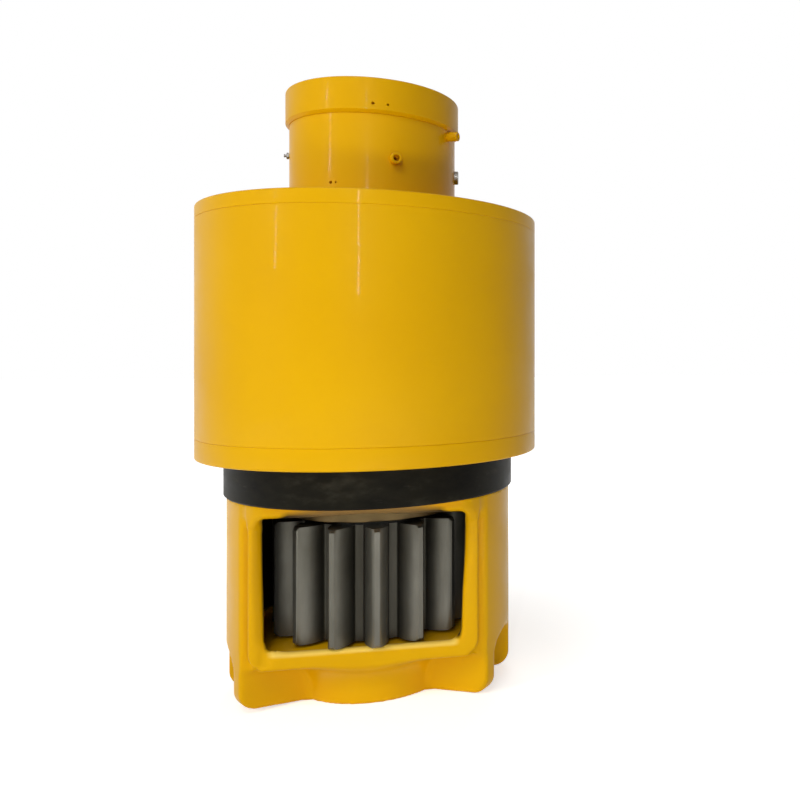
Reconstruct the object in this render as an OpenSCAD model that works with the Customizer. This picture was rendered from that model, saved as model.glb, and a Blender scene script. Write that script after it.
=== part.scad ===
// Excavator swing gearbox: two planetary stages, a spring-applied disc brake in the neck
// and a slewing pinion that runs in a windowed cage below the mounting flange.
// Base of the cage at z 0, axis on Z, window towards -Y. Azimuths run from -Y towards +X.

/* [Casings] */
// Outside diameter of the gear case and its mounting flange
case_d = 600; // [596:1:640]
// Wall of the gear case round the ring gears
case_wall = 35; // [33:1:40]
// Height of the gear case between flange and cover
case_h = 374; // [370:1:420]
// Thickness of the mounting flange
flange_t = 36; // [32:1:44]
// Thickness of the cover rim
cover_t = 24; // [20:1:32]
// Outside diameter of the brake neck
neck_d = 296; // [292:1:306]
// Height of the brake neck above the cover
neck_h = 158; // [154:1:180]
// Outside diameter of the motor adapter
adapter_d = 309; // [306:1:330]
// Height of the motor adapter
adapter_h = 60; // [50:1:80]
// Height of the dark pilot ring
pilot_h = 67; // [60:1:80]
// Thickness of the dark pilot ring
pilot_t = 5; // [4:0.5:8]

/* [Cage] */
// Outside diameter of the pinion cage
cage_d = 500; // [490:1:506]
// Inside diameter of the pinion cage
cavity_d = 440; // [430:1:450]
// Height of the window and of the space behind it
window_h = 233; // [225:1:250]
// Width of the window at its top
window_w = 328; // [300:1:330]
// How much narrower the window is at its sill, on each side
window_taper = 8; // [4:1:12]
// Distance of the flat front from the axis
front_y = 186; // [180:1:196]
// Distance from the axis at which the sill starts to fall towards the front
sill_y = 153; // [148:1:165]
// How far the sill falls to its front edge
sill_fall = 18; // [10:1:20]
// Thickness of the cage floor
floor_t = 26; // [22:1:30]
// Height of the floor's underside above the base
floor_z = 76; // [74:1:90]
// Height of the yellow lip between window and pilot ring
lip_h = 19; // [16:1:26]
// Diameter of the lower bearing boss
boss_d = 278; // [272:1:290]
// Thickness of the fins
fin_t = 30; // [24:1:36]
// Rounding at the fins' lower outer corner
fin_round = 27; // [15:1:34]

/* [Slewing pinion] */
// Module of the slewing pinion
pinion_module = 20; // [19:0.5:20.5]
// Teeth on the slewing pinion
pinion_teeth = 15; // [14:1:15]
// Profile shift of the slewing pinion, in modules
pinion_shift = 0.4; // [0.3:0.05:0.45]
// Face width of the slewing pinion
pinion_face = 200; // [180:1:206]
// Gap under the pinion
pinion_gap = 5; // [4:0.5:8]
// Chamfer at the pinion's tooth ends
pinion_chamfer = 5; // [4:0.5:12]

/* [Gear stages] */
// Module of the second stage
second_module = 8; // [7.8:0.1:8]
// Face width of the second planets
second_face = 100; // [90:1:110]
// Module of the first stage
first_module = 6; // [5.8:0.1:6]
// Face width of the first planets
first_face = 66; // [60:1:72]
// Thickness of the lower plate of each carrier
carrier_plate = 25; // [22:1:30]
// Diameter of the second planet pins
second_pin_d = 64; // [56:1:70]
// Diameter of the first planet pins
first_pin_d = 48; // [44:1:54]
// Wall of the bronze planet bushes
bush_t = 7; // [5:0.5:8]
// Thickness of the thrust washers
washer_t = 6; // [4:0.5:8]

/* [Bearings and seal] */
// Bore of the upper bearing
upper_bore = 200; // [196:1:204]
// Outside diameter of the upper bearing
upper_od = 360; // [354:1:364]
// Width of the upper bearing
upper_w = 98; // [92:1:98]
// Bore of the lower bearing
lower_bore = 110; // [104:1:114]
// Outside diameter of the lower bearing
lower_od = 200; // [196:1:206]
// Width of the lower bearing
lower_w = 53; // [48:1:53]
// Bore of the input bearing
input_bore = 75; // [70:1:78]
// Outside diameter of the input bearing
input_od = 130; // [126:1:134]
// Width of the input bearing
input_w = 25; // [24:1:28]
// Diameter of the shaft under the output seal
seal_d = 210; // [208:1:214]
// Radial depth of the output seal
seal_t = 15; // [13:0.5:16]

/* [Brake] */
// Brake discs lined on both faces
disc_count = 5; // [4:1:5]
// Thickness of a lined disc
disc_t = 4.5; // [4:0.1:4.6]
// Thickness of a steel plate
plate_t = 3.5; // [3:0.1:3.6]
// Bore round the brake plates
plate_bore = 224; // [220:1:228]
// Bore of the brake cylinder
cylinder_bore = 244; // [240:1:248]
// Height of the brake piston
piston_h = 57; // [54:1:60]

/* [Connections] */
// Pitch circle of the tapped holes in the flange
flange_pcd = 556; // [550:1:560]
// Tapped holes in the flange
flange_holes = 24; // [20:1:24]
// Tapping diameter of the flange holes
flange_tap_d = 17.5; // [14:0.5:18]
// Diameter of the motor's pilot bore
motor_pilot_d = 180; // [170:1:184]
// Depth of the motor's pilot bore
motor_pilot_h = 13; // [8:1:16]
// Pitch circle of the motor's tapped holes
motor_pcd = 224; // [220:1:226]
// Tapping diameter of the motor's holes
motor_tap_d = 17.5; // [14:0.5:18]
// Bore of the input shaft's socket
socket_d = 50; // [46:1:52]

/* [Hidden] */
$fn = 96;

// Finishes
yellow = [0.92, 0.68, 0.08];
dark = [0.12, 0.11, 0.1];
steel = [0.56, 0.55, 0.52];
bright = [0.74, 0.74, 0.72];
bronze = [0.72, 0.52, 0.25];
rubber = [0.08, 0.08, 0.08];
lining = [0.36, 0.3, 0.24];

// Clearances
over = 1;           // how far a cut runs past the face it opens
flank_ease = 0.2;   // taken off each tooth flank
run_fit = 0.06;     // radial clearance of a bush on its pin
soft_gap = 0.3;     // between a part that turns and a soft or rolling one
side_play = 0.4;    // beside a planet
spline_ease = 0.2;  // between splines that slide together
disc_gap = 0.35;    // between a lined disc and a steel plate
seal_gap = 0.3;     // between the piston and its bore, and inside the plates' bore
bolt_ease = 0.75;   // radial clearance of a bolt in its hole
head_ease = 0.5;    // radial clearance of a sunk screw head

// Radii of the casings
case_r = case_d / 2;
case_bore_r = case_r - case_wall;
cage_r = cage_d / 2;
cavity_r = cavity_d / 2;
pilot_r = cage_r + pilot_t;
boss_r = boss_d / 2;
neck_r = neck_d / 2;
adapter_r = adapter_d / 2;

// Heights of the casings, from the base up
floor_top = floor_z + floor_t;
roof_z = floor_top + window_h;
pilot_z = roof_z + lip_h;
flange_z = pilot_z + pilot_h;
case_z = flange_z + flange_t;
cover_z = case_z + case_h;
neck_z = cover_z + cover_t;
adapter_z = neck_z + neck_h;
top_z = adapter_z + adapter_h;

// Slewing pinion and its shaft
pinion_z = floor_top + pinion_gap;
pinion_top = pinion_z + pinion_face;
pinion_pitch_r = pinion_module * pinion_teeth / 2;
pinion_tip_r = pinion_pitch_r + pinion_module * (1 + pinion_shift);
pinion_root_r = pinion_pitch_r - pinion_module * (1.25 - pinion_shift);
pinion_pressure_angle = 20;
pinion_flank_steps = 7;
pinion_turn = 180 / pinion_teeth;
seal_r = seal_d / 2;
seal_out_r = seal_r + seal_t;
seal_lip_h = 15;
seal_seat_h = 17;
nose_r = seal_out_r + 30;
nose_z = roof_z - 21;
roof_hole_r = pinion_tip_r + 2;
carrier_floor_t = 8;
shoulder_t = 15;
shoulder_z = roof_z + shoulder_t;

// Upper bearing, held in the seal carrier by the retainer. The carrier's bore in the housing is
// wide enough for the pinion to go in from above.
upper_z = shoulder_z + carrier_floor_t;
upper_r = upper_od / 2;
upper_top = upper_z + upper_w;
carrier_sleeve_r = upper_r + 10;
retainer_t = 16;
retainer_screw_d = 12;
retainer_screw_r = carrier_sleeve_r + 14;
retainer_r = retainer_screw_r + 14;
retainer_screws_n = 12;
retainer_seat_z = case_z + retainer_t - retainer_screw_d - head_ease;
retainer_screw_az = 15;
retainer_tap_in = 26;
retainer_screw_l = 29.5;

// Lower bearing, held in the boss from below
web_t = 15;
lower_r = lower_od / 2;
lower_land_r = lower_r - 16;
lower_z = floor_top - web_t - lower_w;
lower_cover_r = 130;
lower_cover_t = 18;
lower_cover_z = 4;
lower_recess_z = lower_cover_z + lower_cover_t;
lower_screw_r = 116;
lower_screw_d = 10;
lower_screw_az = 22.5;
lower_screws_n = 8;
lower_seat_z = lower_cover_z + lower_screw_d + head_ease;
lower_tap_in = 22;
lower_screw_l = 27.5;
lower_shaft_r = lower_bore / 2;
circlip_t = 4;

// Second stage
pressure_angle = 25;
second_sun_teeth = 18;
second_planet_teeth = 21;
second_ring_teeth = second_sun_teeth + 2 * second_planet_teeth;
second_center = second_module * (second_sun_teeth + second_planet_teeth) / 2;
second_pin_r = second_pin_d / 2;
second_carrier_z = case_z + retainer_t + 7;
second_z = second_carrier_z + carrier_plate + washer_t + side_play;
second_top = second_z + second_face;
second_plate_t = 24;
second_upper_z = second_top + washer_t + side_play;
second_carrier_top = second_upper_z + second_plate_t;
second_carrier_r = second_center + 66;
second_post_r = 40;
second_post_at = second_center + 24;
second_ring_z = second_z - 5;
second_ring_top = second_top + 5;
output_hub_r = 118;
output_spline_r = 95;
output_spline_teeth = 30;
output_spline_depth = 5;
snap_t = 5;
snap_z = second_carrier_z + carrier_plate - 10;
shaft_top = snap_z + snap_t + 4;

// First stage
first_sun_teeth = 15;
first_planet_teeth = 30;
first_ring_teeth = first_sun_teeth + 2 * first_planet_teeth;
first_center = first_module * (first_sun_teeth + first_planet_teeth) / 2;
first_pin_r = first_pin_d / 2;
first_hub_z = second_carrier_top + 4;
first_carrier_z = first_hub_z + 14;
first_z = first_carrier_z + carrier_plate + washer_t + side_play;
first_top = first_z + first_face;
first_plate_t = 20;
first_upper_z = first_top + washer_t + side_play;
first_carrier_top = first_upper_z + first_plate_t;
first_carrier_r = first_center + 75;
first_post_r = 34;
first_post_at = first_center + 35;
first_ring_z = first_z - 4;
first_ring_top = first_top + 6;
second_sun_z = second_z + 1;
second_sun_top = first_carrier_z + carrier_plate - 5;
sun_spline_r = 58;
sun_spline_teeth = 24;
sun_spline_depth = 4;
sun_bore_r = 30;

// Input bearing and the brake above it
input_r = input_od / 2;
input_shaft_r = input_bore / 2;
input_z = cover_z - 5;
input_top = input_z + input_w;
input_boss_z = input_z - 11;
brake_floor_z = input_top + 17;
shaft_hole_r = 52;
input_spline_r = 27;
input_spline_teeth = 16;
input_spline_depth = 3;
plate_r = plate_bore / 2;
cylinder_r = cylinder_bore / 2;
plate_count = disc_count + 1;
stack_step = plate_t + disc_t + 2 * disc_gap;
plates_top = brake_floor_z + disc_count * stack_step + plate_t;
piston_step_z = plates_top + 27;
cylinder_z = piston_step_z - 8;
piston_top = plates_top + piston_h;
spring_count = 4;
spring_in_r = 72;
spring_out_r = 114;
spring_t = 5;
spring_h = (adapter_z - piston_top) / spring_count;
hub_spline_r = 45;
hub_spline_teeth = 24;
hub_spline_depth = 3;
piston_ring_in = 12;
disc_r = plate_r - 4;
lug_r = plate_r + 5;
lug_w = 22;
lug_count = 8;
socket_r = socket_d / 2;
input_end_z = top_z - motor_pilot_h;
socket_h = 60;
socket_lead = 20;
socket_spline_teeth = 20;
socket_spline_depth = 2.5;
shaft_end_r = 38;
input_low_z = first_z - 2;
sun_z = first_z + 2;

// Bolts of the casings
case_bolt_n = 12;
case_bolt_r = case_r - 17;
case_bolt_d = 16;
case_bolt_in = 27;
case_head_h = 9;
case_head_r = 12;
case_head_in = 11;
adapter_lip = 6.5;
adapter_screw_n = 8;
adapter_screw_r = (cylinder_r + adapter_r - adapter_lip) / 2;
adapter_screw_d = 12;
adapter_screw_in = 24;
adapter_screw_az = 10;
adapter_head_in = 14;
adapter_bore_r = 64;
motor_hole_h = 32;
ring_pin_n = 6;
ring_pin_r = 6;
ring_pin_l = 45;
ring_pin_az = 15;
case_rib = 15;

// Fittings on the neck: azimuth, height on the neck, radii of thread and head, length of the head
seat_in = (neck_r - cylinder_r) / 2;
vent_az = 65.2;
vent_up = 146;
vent_r = 7;
vent_head_r = 8.5;
vent_l = 21;
vent_bore_r = 4.5;
port_az = 18;
port_up = cylinder_z + 4 - neck_z;
port_r = 8;
port_head_r = 10;
port_l = 10;
port_bore_r = 5.5;
port_duct_r = 3;
plug_az = 88;
plug_up = 83;
plug_r = 9;
plug_head_r = 12.5;
plug_l = 7;
plug_key_r = 5.5;
nipple_az = -82;
nipple_up = 106;
nipple_r = 4;
nipple_hex_r = 6;
nipple_tip_r = 3;
spot_depth = 1.5;   // of the faces milled for the fittings
spot_ease = 0.5;    // round a fitting's head

// Plain holes in the neck and the collar: azimuth and radius
neck_holes = [[-24.2, 2.6], [-20.6, 1.8]];
neck_holes_up = 39;
collar_holes = [[3.7, 2.8], [12.9, 2.2]];
collar_holes_up = 15;
small_hole_in = 10;

// Seat of the pilot ring in the flange: the ring's upper end is thinner and goes into a recess
ring_seat = 2;
ring_step = 2;
ring_seat_r = pilot_r + 1;

// Rubber rings
oring_d = 5;
oring_up = 12;

// A straight ring between two heights
module ring(out_r, in_r, low, high) {
    difference() {
        translate([0, 0, low]) cylinder(r = out_r, h = high - low);
        translate([0, 0, low - over]) cylinder(r = in_r, h = high - low + 2 * over);
    }
}

// A round bar between two heights
module bar(r, low, high) {
    translate([0, 0, low]) cylinder(r = r, h = high - low);
}

// Copies of the children on a circle, the first one at the given azimuth
module around(count, at_r, first = 0) {
    for (i = [0:count - 1]) rotate([0, 0, first + i * 360 / count]) translate([0, -at_r, 0]) children();
}

// The children set at an azimuth, looking outwards along -Y from the given radius and height
module on_side(az, at_r, up) {
    rotate([0, 0, az]) translate([0, -at_r, up]) rotate([90, 0, 0]) children();
}

// Radius and angle to a point
function polar(r, a) = [r * cos(a), r * sin(a)];

// Involute function in degrees
function inv_deg(a) = tan(a) * 180 / PI - a;

// Half the angle that a tooth takes up at radius r
function tooth_half(r, m, z, pa, ease) =
    90 / z + inv_deg(pa) - inv_deg(acos(min(1, m * z / 2 * cos(pa) / r))) + ease * 360 / (PI * m * z);

// One flank of a tooth at angle mid, from the root out to the tip
function flank(m, z, pa, tip, root, ease, steps, mid, side) =
    let (base = m * z / 2 * cos(pa), low = max(base, root))
    concat(root < base ? [polar(root, mid + side * tooth_half(base, m, z, pa, ease))] : [],
        [for (i = [0:steps])
            let (r = low + (tip - low) * i / steps)
            polar(r, mid + side * tooth_half(r, m, z, pa, ease))]);

function reversed(list) = [for (i = [len(list) - 1:-1:0]) list[i]];

// Outline of a whole gear, with a tooth on the X axis
function gear_outline(m, z, pa, tip, root, ease, steps = 5) = [
    for (k = [0:z - 1]) each concat(
        flank(m, z, pa, tip, root, ease, steps, k * 360 / z, -1),
        reversed(flank(m, z, pa, tip, root, ease, steps, k * 360 / z, 1)))];

// A spur gear without its bore
module spur(m, z, low, high) {
    translate([0, 0, low]) linear_extrude(high - low)
        polygon(gear_outline(m, z, pressure_angle, m * (z / 2 + 1), m * (z / 2 - 1.25), -flank_ease));
}

// A ring gear whose tooth space lies on the X axis when turn is 0
module ring_gear(m, z, out_r, low, high, turn) {
    difference() {
        bar(out_r, low, high);
        translate([0, 0, low - over]) rotate([0, 0, turn]) linear_extrude(high - low + 2 * over)
            polygon(gear_outline(m, z, pressure_angle, m * (z / 2 + 1.25), m * (z / 2 - 1), flank_ease));
    }
}

function fraction(x) = x - floor(x);

// How far planet k is turned so that its spaces take the sun's teeth
function planet_turn(k, sun, planet) =
    k * 120 + 180 + (fraction(k * sun / 3) + 0.5) * 360 / planet;

// How far a ring gear is turned so that its spaces take the planets' teeth
function ring_turn(planet, ring) = -fraction(-planet / 2 - 0.5) * 360 / ring;

// Straight-sided spline outline, root radius r and teeth of the given depth
function spline_outline(r, teeth, depth, ease) = [
    for (k = [0:teeth - 1], p = [[0, -0.3], [depth, -0.2], [depth, 0.2], [0, 0.3]])
        polar(r + p[0] + ease, (k + p[1]) * 360 / teeth)];

// A splined bar, or the cutter of a splined bore when ease is above 0
module splined(r, teeth, depth, low, high, ease = 0) {
    translate([0, 0, low]) linear_extrude(high - low) polygon(spline_outline(r, teeth, depth, ease));
}

// Radius of a standard socket head
function head_r(d) = 0.8 * d;

// A socket head cap screw, head upwards, its seat at the given height
module cap_screw(d, seat, length, head_out_r, head_h) {
    difference() {
        union() {
            bar(d / 2, seat - length, seat);
            bar(head_out_r, seat, seat + head_h);
        }
        translate([0, 0, seat + 0.45 * head_h]) cylinder(r = 0.46 * d, h = head_h, $fn = 6);
    }
}

// The web of one fin, seen from the side: out to the cage wall, with a rounded foot
module fin_profile() {
    difference() {
        square([cage_r, floor_top - over]);
        translate([cage_r - fin_round, 0]) difference() {
            square([fin_round + over, fin_round]);
            translate([0, fin_round]) circle(r = fin_round);
        }
    }
}

// A fin at an azimuth; spread widens it towards the boss on the side given by its sign
module fin(az, spread) {
    half = fin_t / 2;
    rotate([0, 0, az - 90]) intersection() {
        rotate([90, 0, 0]) translate([0, 0, -cage_r]) linear_extrude(2 * cage_r) fin_profile();
        linear_extrude(floor_top) polygon([
            [0, -half + min(0, spread)], [boss_r, -half + min(0, spread)], [cage_r + over, -half],
            [cage_r + over, half], [boss_r, half + max(0, spread)], [0, half + max(0, spread)]]);
    }
}

front_fin_az = 57;
front_fin_spread = 24;
groove_low_az = 49.4;
groove_high_az = 53.2;
groove_depth = 15;
groove_top_z = roof_z - 10;
boss_fillet = 62;
panel_round = 32;
window_round = 22;
window_top_round = 10;
fin_az = [90, 123, 180, -123, -90];
pocket_az = [73.5, 106.5, 151.5, -151.5, -106.5, -73.5];
pocket_half = [58, 58, 108, 108, 58, 58];
pocket_rise = 19;
pocket_slope = 12;
pocket_in = 60;

// A wedge of the ground plan between two azimuths
module wedge(low_az, high_az, far) {
    polygon([[0, 0], [far * sin(low_az), -far * cos(low_az)],
        [far * sin((low_az + high_az) / 2), -far * cos((low_az + high_az) / 2)] * 1.05,
        [far * sin(high_az), -far * cos(high_az)]]);
}

// The arch that lightens the wall's foot between two fins, half its span wide
module pocket(az, half) {
    arch_r = (half * half + pocket_rise * pocket_rise) / (2 * pocket_rise);
    rotate([0, 0, az]) translate([0, -cage_r, floor_z + pocket_rise]) rotate([90 - pocket_slope, 0, 0])
        translate([0, -arch_r, -pocket_in]) cylinder(r = arch_r, h = 1.5 * pocket_in);
}

// The groove that sets the window's frame apart from the front fin
module frame_groove(side) {
    mirror([side < 0 ? 1 : 0, 0, 0]) translate([0, 0, floor_z - over])
        linear_extrude(groove_top_z - floor_z + over) difference() {
            wedge(groove_low_az, groove_high_az, cage_r + groove_depth);
            circle(r = cage_r - groove_depth);
        }
}

// The material outside the rounded lower corner of the window's frame
module frame_corner(side) {
    corner_x = cage_r * sin(groove_low_az);
    mirror([side < 0 ? 1 : 0, 0, 0]) translate([0, -boss_r, 0]) rotate([90, 0, 0])
        linear_extrude(cage_r) difference() {
            translate([corner_x - panel_round, floor_z - over]) square([panel_round + 4, panel_round + over]);
            translate([corner_x - panel_round, floor_z + panel_round]) circle(r = panel_round);
        }
}

// Outline of the window: a little narrower at the sill, with round corners
module window_outline() {
    top_x = window_w / 2;
    low_x = top_x - window_taper;
    polygon([[-low_x, window_round], [low_x, window_round], [top_x, window_h - window_top_round],
        [-top_x, window_h - window_top_round]]);
    translate([window_round - low_x, 0]) square([2 * (low_x - window_round), window_h / 2]);
    translate([window_top_round - top_x, window_h / 2])
        square([2 * (top_x - window_top_round), window_h / 2]);
    for (s = [-1, 1]) {
        translate([s * (low_x - window_round), window_round]) circle(r = window_round);
        translate([s * (top_x - window_top_round), window_h - window_top_round])
            circle(r = window_top_round);
    }
}

// The window, cut through the front wall, and the fall of its sill
module window_cut() {
    translate([0, 0, floor_top]) rotate([90, 0, 0]) linear_extrude(cage_r + over) window_outline();
    low_x = window_w / 2 - window_taper;
    fall_angle = atan(sill_fall / (front_y - sill_y));
    translate([0, -sill_y, floor_top]) rotate([90 + fall_angle, 0, 0]) linear_extrude(cage_r - sill_y) {
        translate([window_round - low_x, 0]) square([2 * (low_x - window_round), window_round]);
        translate([-low_x, window_round]) square([2 * low_x, window_round]);
        for (s = [-1, 1]) translate([s * (low_x - window_round), window_round]) circle(r = window_round);
    }
}

// Casting that carries the pinion: flange, register, cage with its window, fins and boss
module pinion_housing() {
    color(yellow) difference() {
        union() {
            bar(case_r, flange_z, case_z);
            ring(case_bore_r, retainer_r + 8, case_z, second_ring_z);
            difference() {
                bar(cage_r, floor_z, flange_z);
                for (i = [0:len(pocket_az) - 1]) pocket(pocket_az[i], pocket_half[i]);
            }
            bar(boss_r, 0, floor_z);
            rotate_extrude() difference() {
                translate([boss_r - over, floor_z - boss_fillet]) square([boss_fillet + over, boss_fillet]);
                translate([boss_r + boss_fillet, floor_z - boss_fillet]) circle(r = boss_fillet);
            }
            for (az = fin_az) fin(az, 0);
            fin(front_fin_az, -front_fin_spread);
            fin(-front_fin_az, front_fin_spread);
        }
        // the space for the pinion and its way in from above
        bar(cavity_r, floor_top, roof_z);
        bar(roof_hole_r, roof_z - over, shoulder_z + over);
        bar(carrier_sleeve_r, shoulder_z, case_z + over);
        // the lower bearing's seat
        bar(lower_r, lower_recess_z - over, floor_top - web_t);
        bar(lower_land_r, lower_z, floor_top + over);
        bar(lower_cover_r, -over, lower_recess_z);
        // the front of the cage
        window_cut();
        translate([-cage_r, -cage_r - over, floor_z - boss_fillet])
            cube([2 * cage_r, cage_r + over - front_y, pilot_z - floor_z + boss_fillet]);
        for (s = [-1, 1]) {
            frame_groove(s);
            frame_corner(s);
        }
        // the seat of the pilot ring
        ring(ring_seat_r, cage_r, flange_z - over, flange_z + ring_seat);
        // tapped holes
        around(flange_holes, flange_pcd / 2, 180 / flange_holes)
            bar(flange_tap_d / 2, flange_z - over, case_z - 8);
        around(case_bolt_n, case_bolt_r, 0) bar(case_bolt_d / 2, case_z - case_bolt_in, case_z + over);
        around(retainer_screws_n, retainer_screw_r, retainer_screw_az)
            bar(retainer_screw_d / 2, case_z - retainer_tap_in, case_z + over);
        around(lower_screws_n, lower_screw_r, lower_screw_az)
            bar(lower_screw_d / 2, lower_recess_z - over, lower_recess_z + lower_tap_in);
        o_groove(case_bore_r, case_z + oring_up);
    }
}

// Dark ring over the machined register under the flange
module pilot_ring() {
    color(dark) difference() {
        union() {
            bar(pilot_r, pilot_z, flange_z);
            bar(pilot_r - ring_step, flange_z - over, flange_z + ring_seat);
        }
        bar(cage_r, pilot_z - over, flange_z + ring_seat + over);
        rotate_extrude() translate([pilot_r, pilot_z]) circle(r = 3, $fn = 4);
    }
}

// Plain drum that holds both ring gears, with a rib between them
module gear_case() {
    color(yellow) difference() {
        bar(case_r, case_z, cover_z);
        bar(case_bore_r, case_z - over, second_ring_top);
        bar(case_bore_r - case_rib, second_ring_top - over, first_ring_z + over);
        bar(case_bore_r, first_ring_z, cover_z + over);
        around(case_bolt_n, case_bolt_r, 0)
            bar(case_bolt_d / 2 + bolt_ease, case_z - over, cover_z + over);
        ring_pins();
    }
}

// Dowels on the joint between case and ring gears
module ring_pins() {
    around(ring_pin_n, case_bore_r, ring_pin_az) bar(ring_pin_r, second_ring_z, second_ring_z + ring_pin_l);
    around(ring_pin_n, case_bore_r, ring_pin_az) bar(ring_pin_r, first_ring_top - ring_pin_l, first_ring_top);
}

module ring_gear_pins() {
    color(steel) ring_pins();
}

// Internal gear of the second stage
module second_ring_gear() {
    color(steel) difference() {
        ring_gear(second_module, second_ring_teeth, case_bore_r, second_ring_z, second_ring_top,
            ring_turn(second_planet_teeth, second_ring_teeth));
        ring_pins();
    }
}

// Internal gear of the first stage
module first_ring_gear() {
    color(steel) difference() {
        ring_gear(first_module, first_ring_teeth, case_bore_r, first_ring_z, first_ring_top,
            ring_turn(first_planet_teeth, first_ring_teeth));
        ring_pins();
    }
}

// Slots round the brake chamber that hold the plates' lugs
module lug_slots(low, high, width) {
    for (i = [0:lug_count - 1]) rotate([0, 0, i * 360 / lug_count])
        translate([0, -width / 2, low]) cube([lug_r, width, high - low]);
}

// Cover and brake neck in one casting
module brake_housing() {
    color(yellow) difference() {
        union() {
            bar(case_r, cover_z, neck_z);
            ring(case_bore_r, case_bore_r - 20, first_ring_top, cover_z);
            bar(input_r + 20, input_boss_z, cover_z);
            bar(neck_r, neck_z, adapter_z);
        }
        bar(input_r, input_z, input_top);
        bar(input_r - 0.01, input_boss_z - over, input_z + over);
        ring(input_r + circlip_t, input_r - over, input_z - circlip_t, input_z);
        bar(shaft_hole_r, input_top - over, brake_floor_z + over);
        o_groove(case_bore_r, cover_z - oring_up);
        bar(plate_r, brake_floor_z, adapter_z + over);
        bar(cylinder_r, cylinder_z, adapter_z + over);
        lug_slots(brake_floor_z, cylinder_z, lug_w + 2 * seal_gap);
        around(case_bolt_n, case_bolt_r, 0) {
            bar(case_bolt_d / 2 + bolt_ease, cover_z - over, neck_z + over);
            bar(case_head_r + 2 * head_ease, neck_z - case_head_in, neck_z + over);
        }
        around(adapter_screw_n, adapter_screw_r, adapter_screw_az)
            bar(adapter_screw_d / 2, adapter_z - adapter_screw_in, adapter_z + over);
        // seats and drillings of the fittings
        fitting_seat(vent_az, vent_up, vent_r, vent_head_r, vent_bore_r);
        fitting_seat(port_az, port_up, port_r, port_head_r, port_duct_r);
        fitting_seat(plug_az, plug_up, plug_r, plug_head_r, port_duct_r);
        on_side(nipple_az, neck_r - seat_in, neck_z + nipple_up) cylinder(r = nipple_r, h = 2 * seat_in);
        for (hole = neck_holes) on_side(hole[0], neck_r - small_hole_in, neck_z + neck_holes_up)
            cylinder(r = hole[1], h = 2 * small_hole_in);
    }
}

// Tapped seat of a fitting in the neck, its milled face and the drilling behind it
module fitting_seat(az, up, thread_r, head_r, duct_r) {
    on_side(az, neck_r - seat_in, neck_z + up) cylinder(r = thread_r, h = 2 * seat_in);
    on_side(az, neck_r - spot_depth, neck_z + up) cylinder(r = head_r + spot_ease, h = seat_in);
    on_side(az, cylinder_r - seat_in / 2, neck_z + up) cylinder(r = duct_r, h = seat_in);
}

// Long bolts that clamp cover and case to the flange, with low heads sunk into the cover
module case_bolts() {
    seat = neck_z - case_head_in;
    color(steel) around(case_bolt_n, case_bolt_r, 0)
        cap_screw(case_bolt_d, seat, seat - case_z + case_bolt_in, case_head_r, case_head_h);
}

// Collar that carries the motor
module motor_adapter() {
    color(yellow) difference() {
        bar(adapter_r, adapter_z, top_z);
        bar(adapter_bore_r, adapter_z - over, top_z + over);
        bar(motor_pilot_d / 2, top_z - motor_pilot_h, top_z + over);
        rotate_extrude() translate([adapter_r, adapter_z]) circle(r = 5, $fn = 4);
        around(4, motor_pcd / 2, 45) bar(motor_tap_d / 2, top_z - motor_hole_h, top_z + over);
        around(adapter_screw_n, adapter_screw_r, adapter_screw_az) {
            bar(adapter_screw_d / 2 + bolt_ease, adapter_z - over, top_z + over);
            bar(head_r(adapter_screw_d) + head_ease, top_z - adapter_head_in, top_z + over);
        }
        for (hole = collar_holes) on_side(hole[0], adapter_r - small_hole_in, adapter_z + collar_holes_up)
            cylinder(r = hole[1], h = 2 * small_hole_in);
    }
}

// Screws of the motor adapter, sunk into its top face
module adapter_screws() {
    color(steel) around(adapter_screw_n, adapter_screw_r, adapter_screw_az)
        cap_screw(adapter_screw_d, top_z - adapter_head_in, adapter_h - adapter_head_in + adapter_screw_in,
            head_r(adapter_screw_d), adapter_screw_d);
}

// Depth of a race and size of the rollers between two races
function race_t(bore, od) = (od - bore) / 4 * 0.46;
function roller_r(bore, od) = ((od - bore) / 2 - 2 * race_t(bore, od)) / 2 - soft_gap;
function roller_at(bore, od) = (bore + od) / 4;
function roller_n(bore, od) = floor(PI / asin((roller_r(bore, od) * 1.14) / roller_at(bore, od)) * 180 / PI);

module outer_race(bore, od, low, w) {
    ring(od / 2, od / 2 - race_t(bore, od), low, low + w);
}

module inner_race(bore, od, low, w) {
    ring(bore / 2 + race_t(bore, od), bore / 2, low, low + w);
}

// Two rows of rollers in one brass cage
module rollers(bore, od, low, w) {
    at_r = roller_at(bore, od);
    roller = roller_r(bore, od);
    count = roller_n(bore, od);
    rib = 0.07 * w;
    row = (w - 3 * rib - 4) / 2;
    middle = low + w / 2;
    stay = at_r * sin(180 / count) - roller - 0.3;
    color(steel) for (side = [-1, 1]) around(count, at_r, 0)
        bar(roller, middle + side * (rib + row) / 2 - row / 2 + 0.3,
            middle + side * (rib + row) / 2 + row / 2 - 0.3);
    color(bronze) {
        for (side = [-1, 0, 1])
            ring(at_r + roller * 0.6, at_r - roller * 0.6, middle + side * (rib + row) - rib / 2,
                middle + side * (rib + row) + rib / 2);
        around(count, at_r, 180 / count) bar(stay, middle - rib - row, middle + rib + row);
    }
}

module upper_outer_race() {
    color(bright) outer_race(upper_bore, upper_od, upper_z, upper_w);
}

module upper_inner_race() {
    color(bright) inner_race(upper_bore, upper_od, upper_z, upper_w);
}

module upper_rollers() {
    rollers(upper_bore, upper_od, upper_z, upper_w);
}

module lower_outer_race() {
    color(bright) outer_race(lower_bore, lower_od, lower_z, lower_w);
}

module lower_inner_race() {
    color(bright) inner_race(lower_bore, lower_od, lower_z, lower_w);
}

module lower_rollers() {
    rollers(lower_bore, lower_od, lower_z, lower_w);
}

ball_r = 9.5;
ball_at = (input_bore + input_od) / 4;
ball_n = 11;

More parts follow.
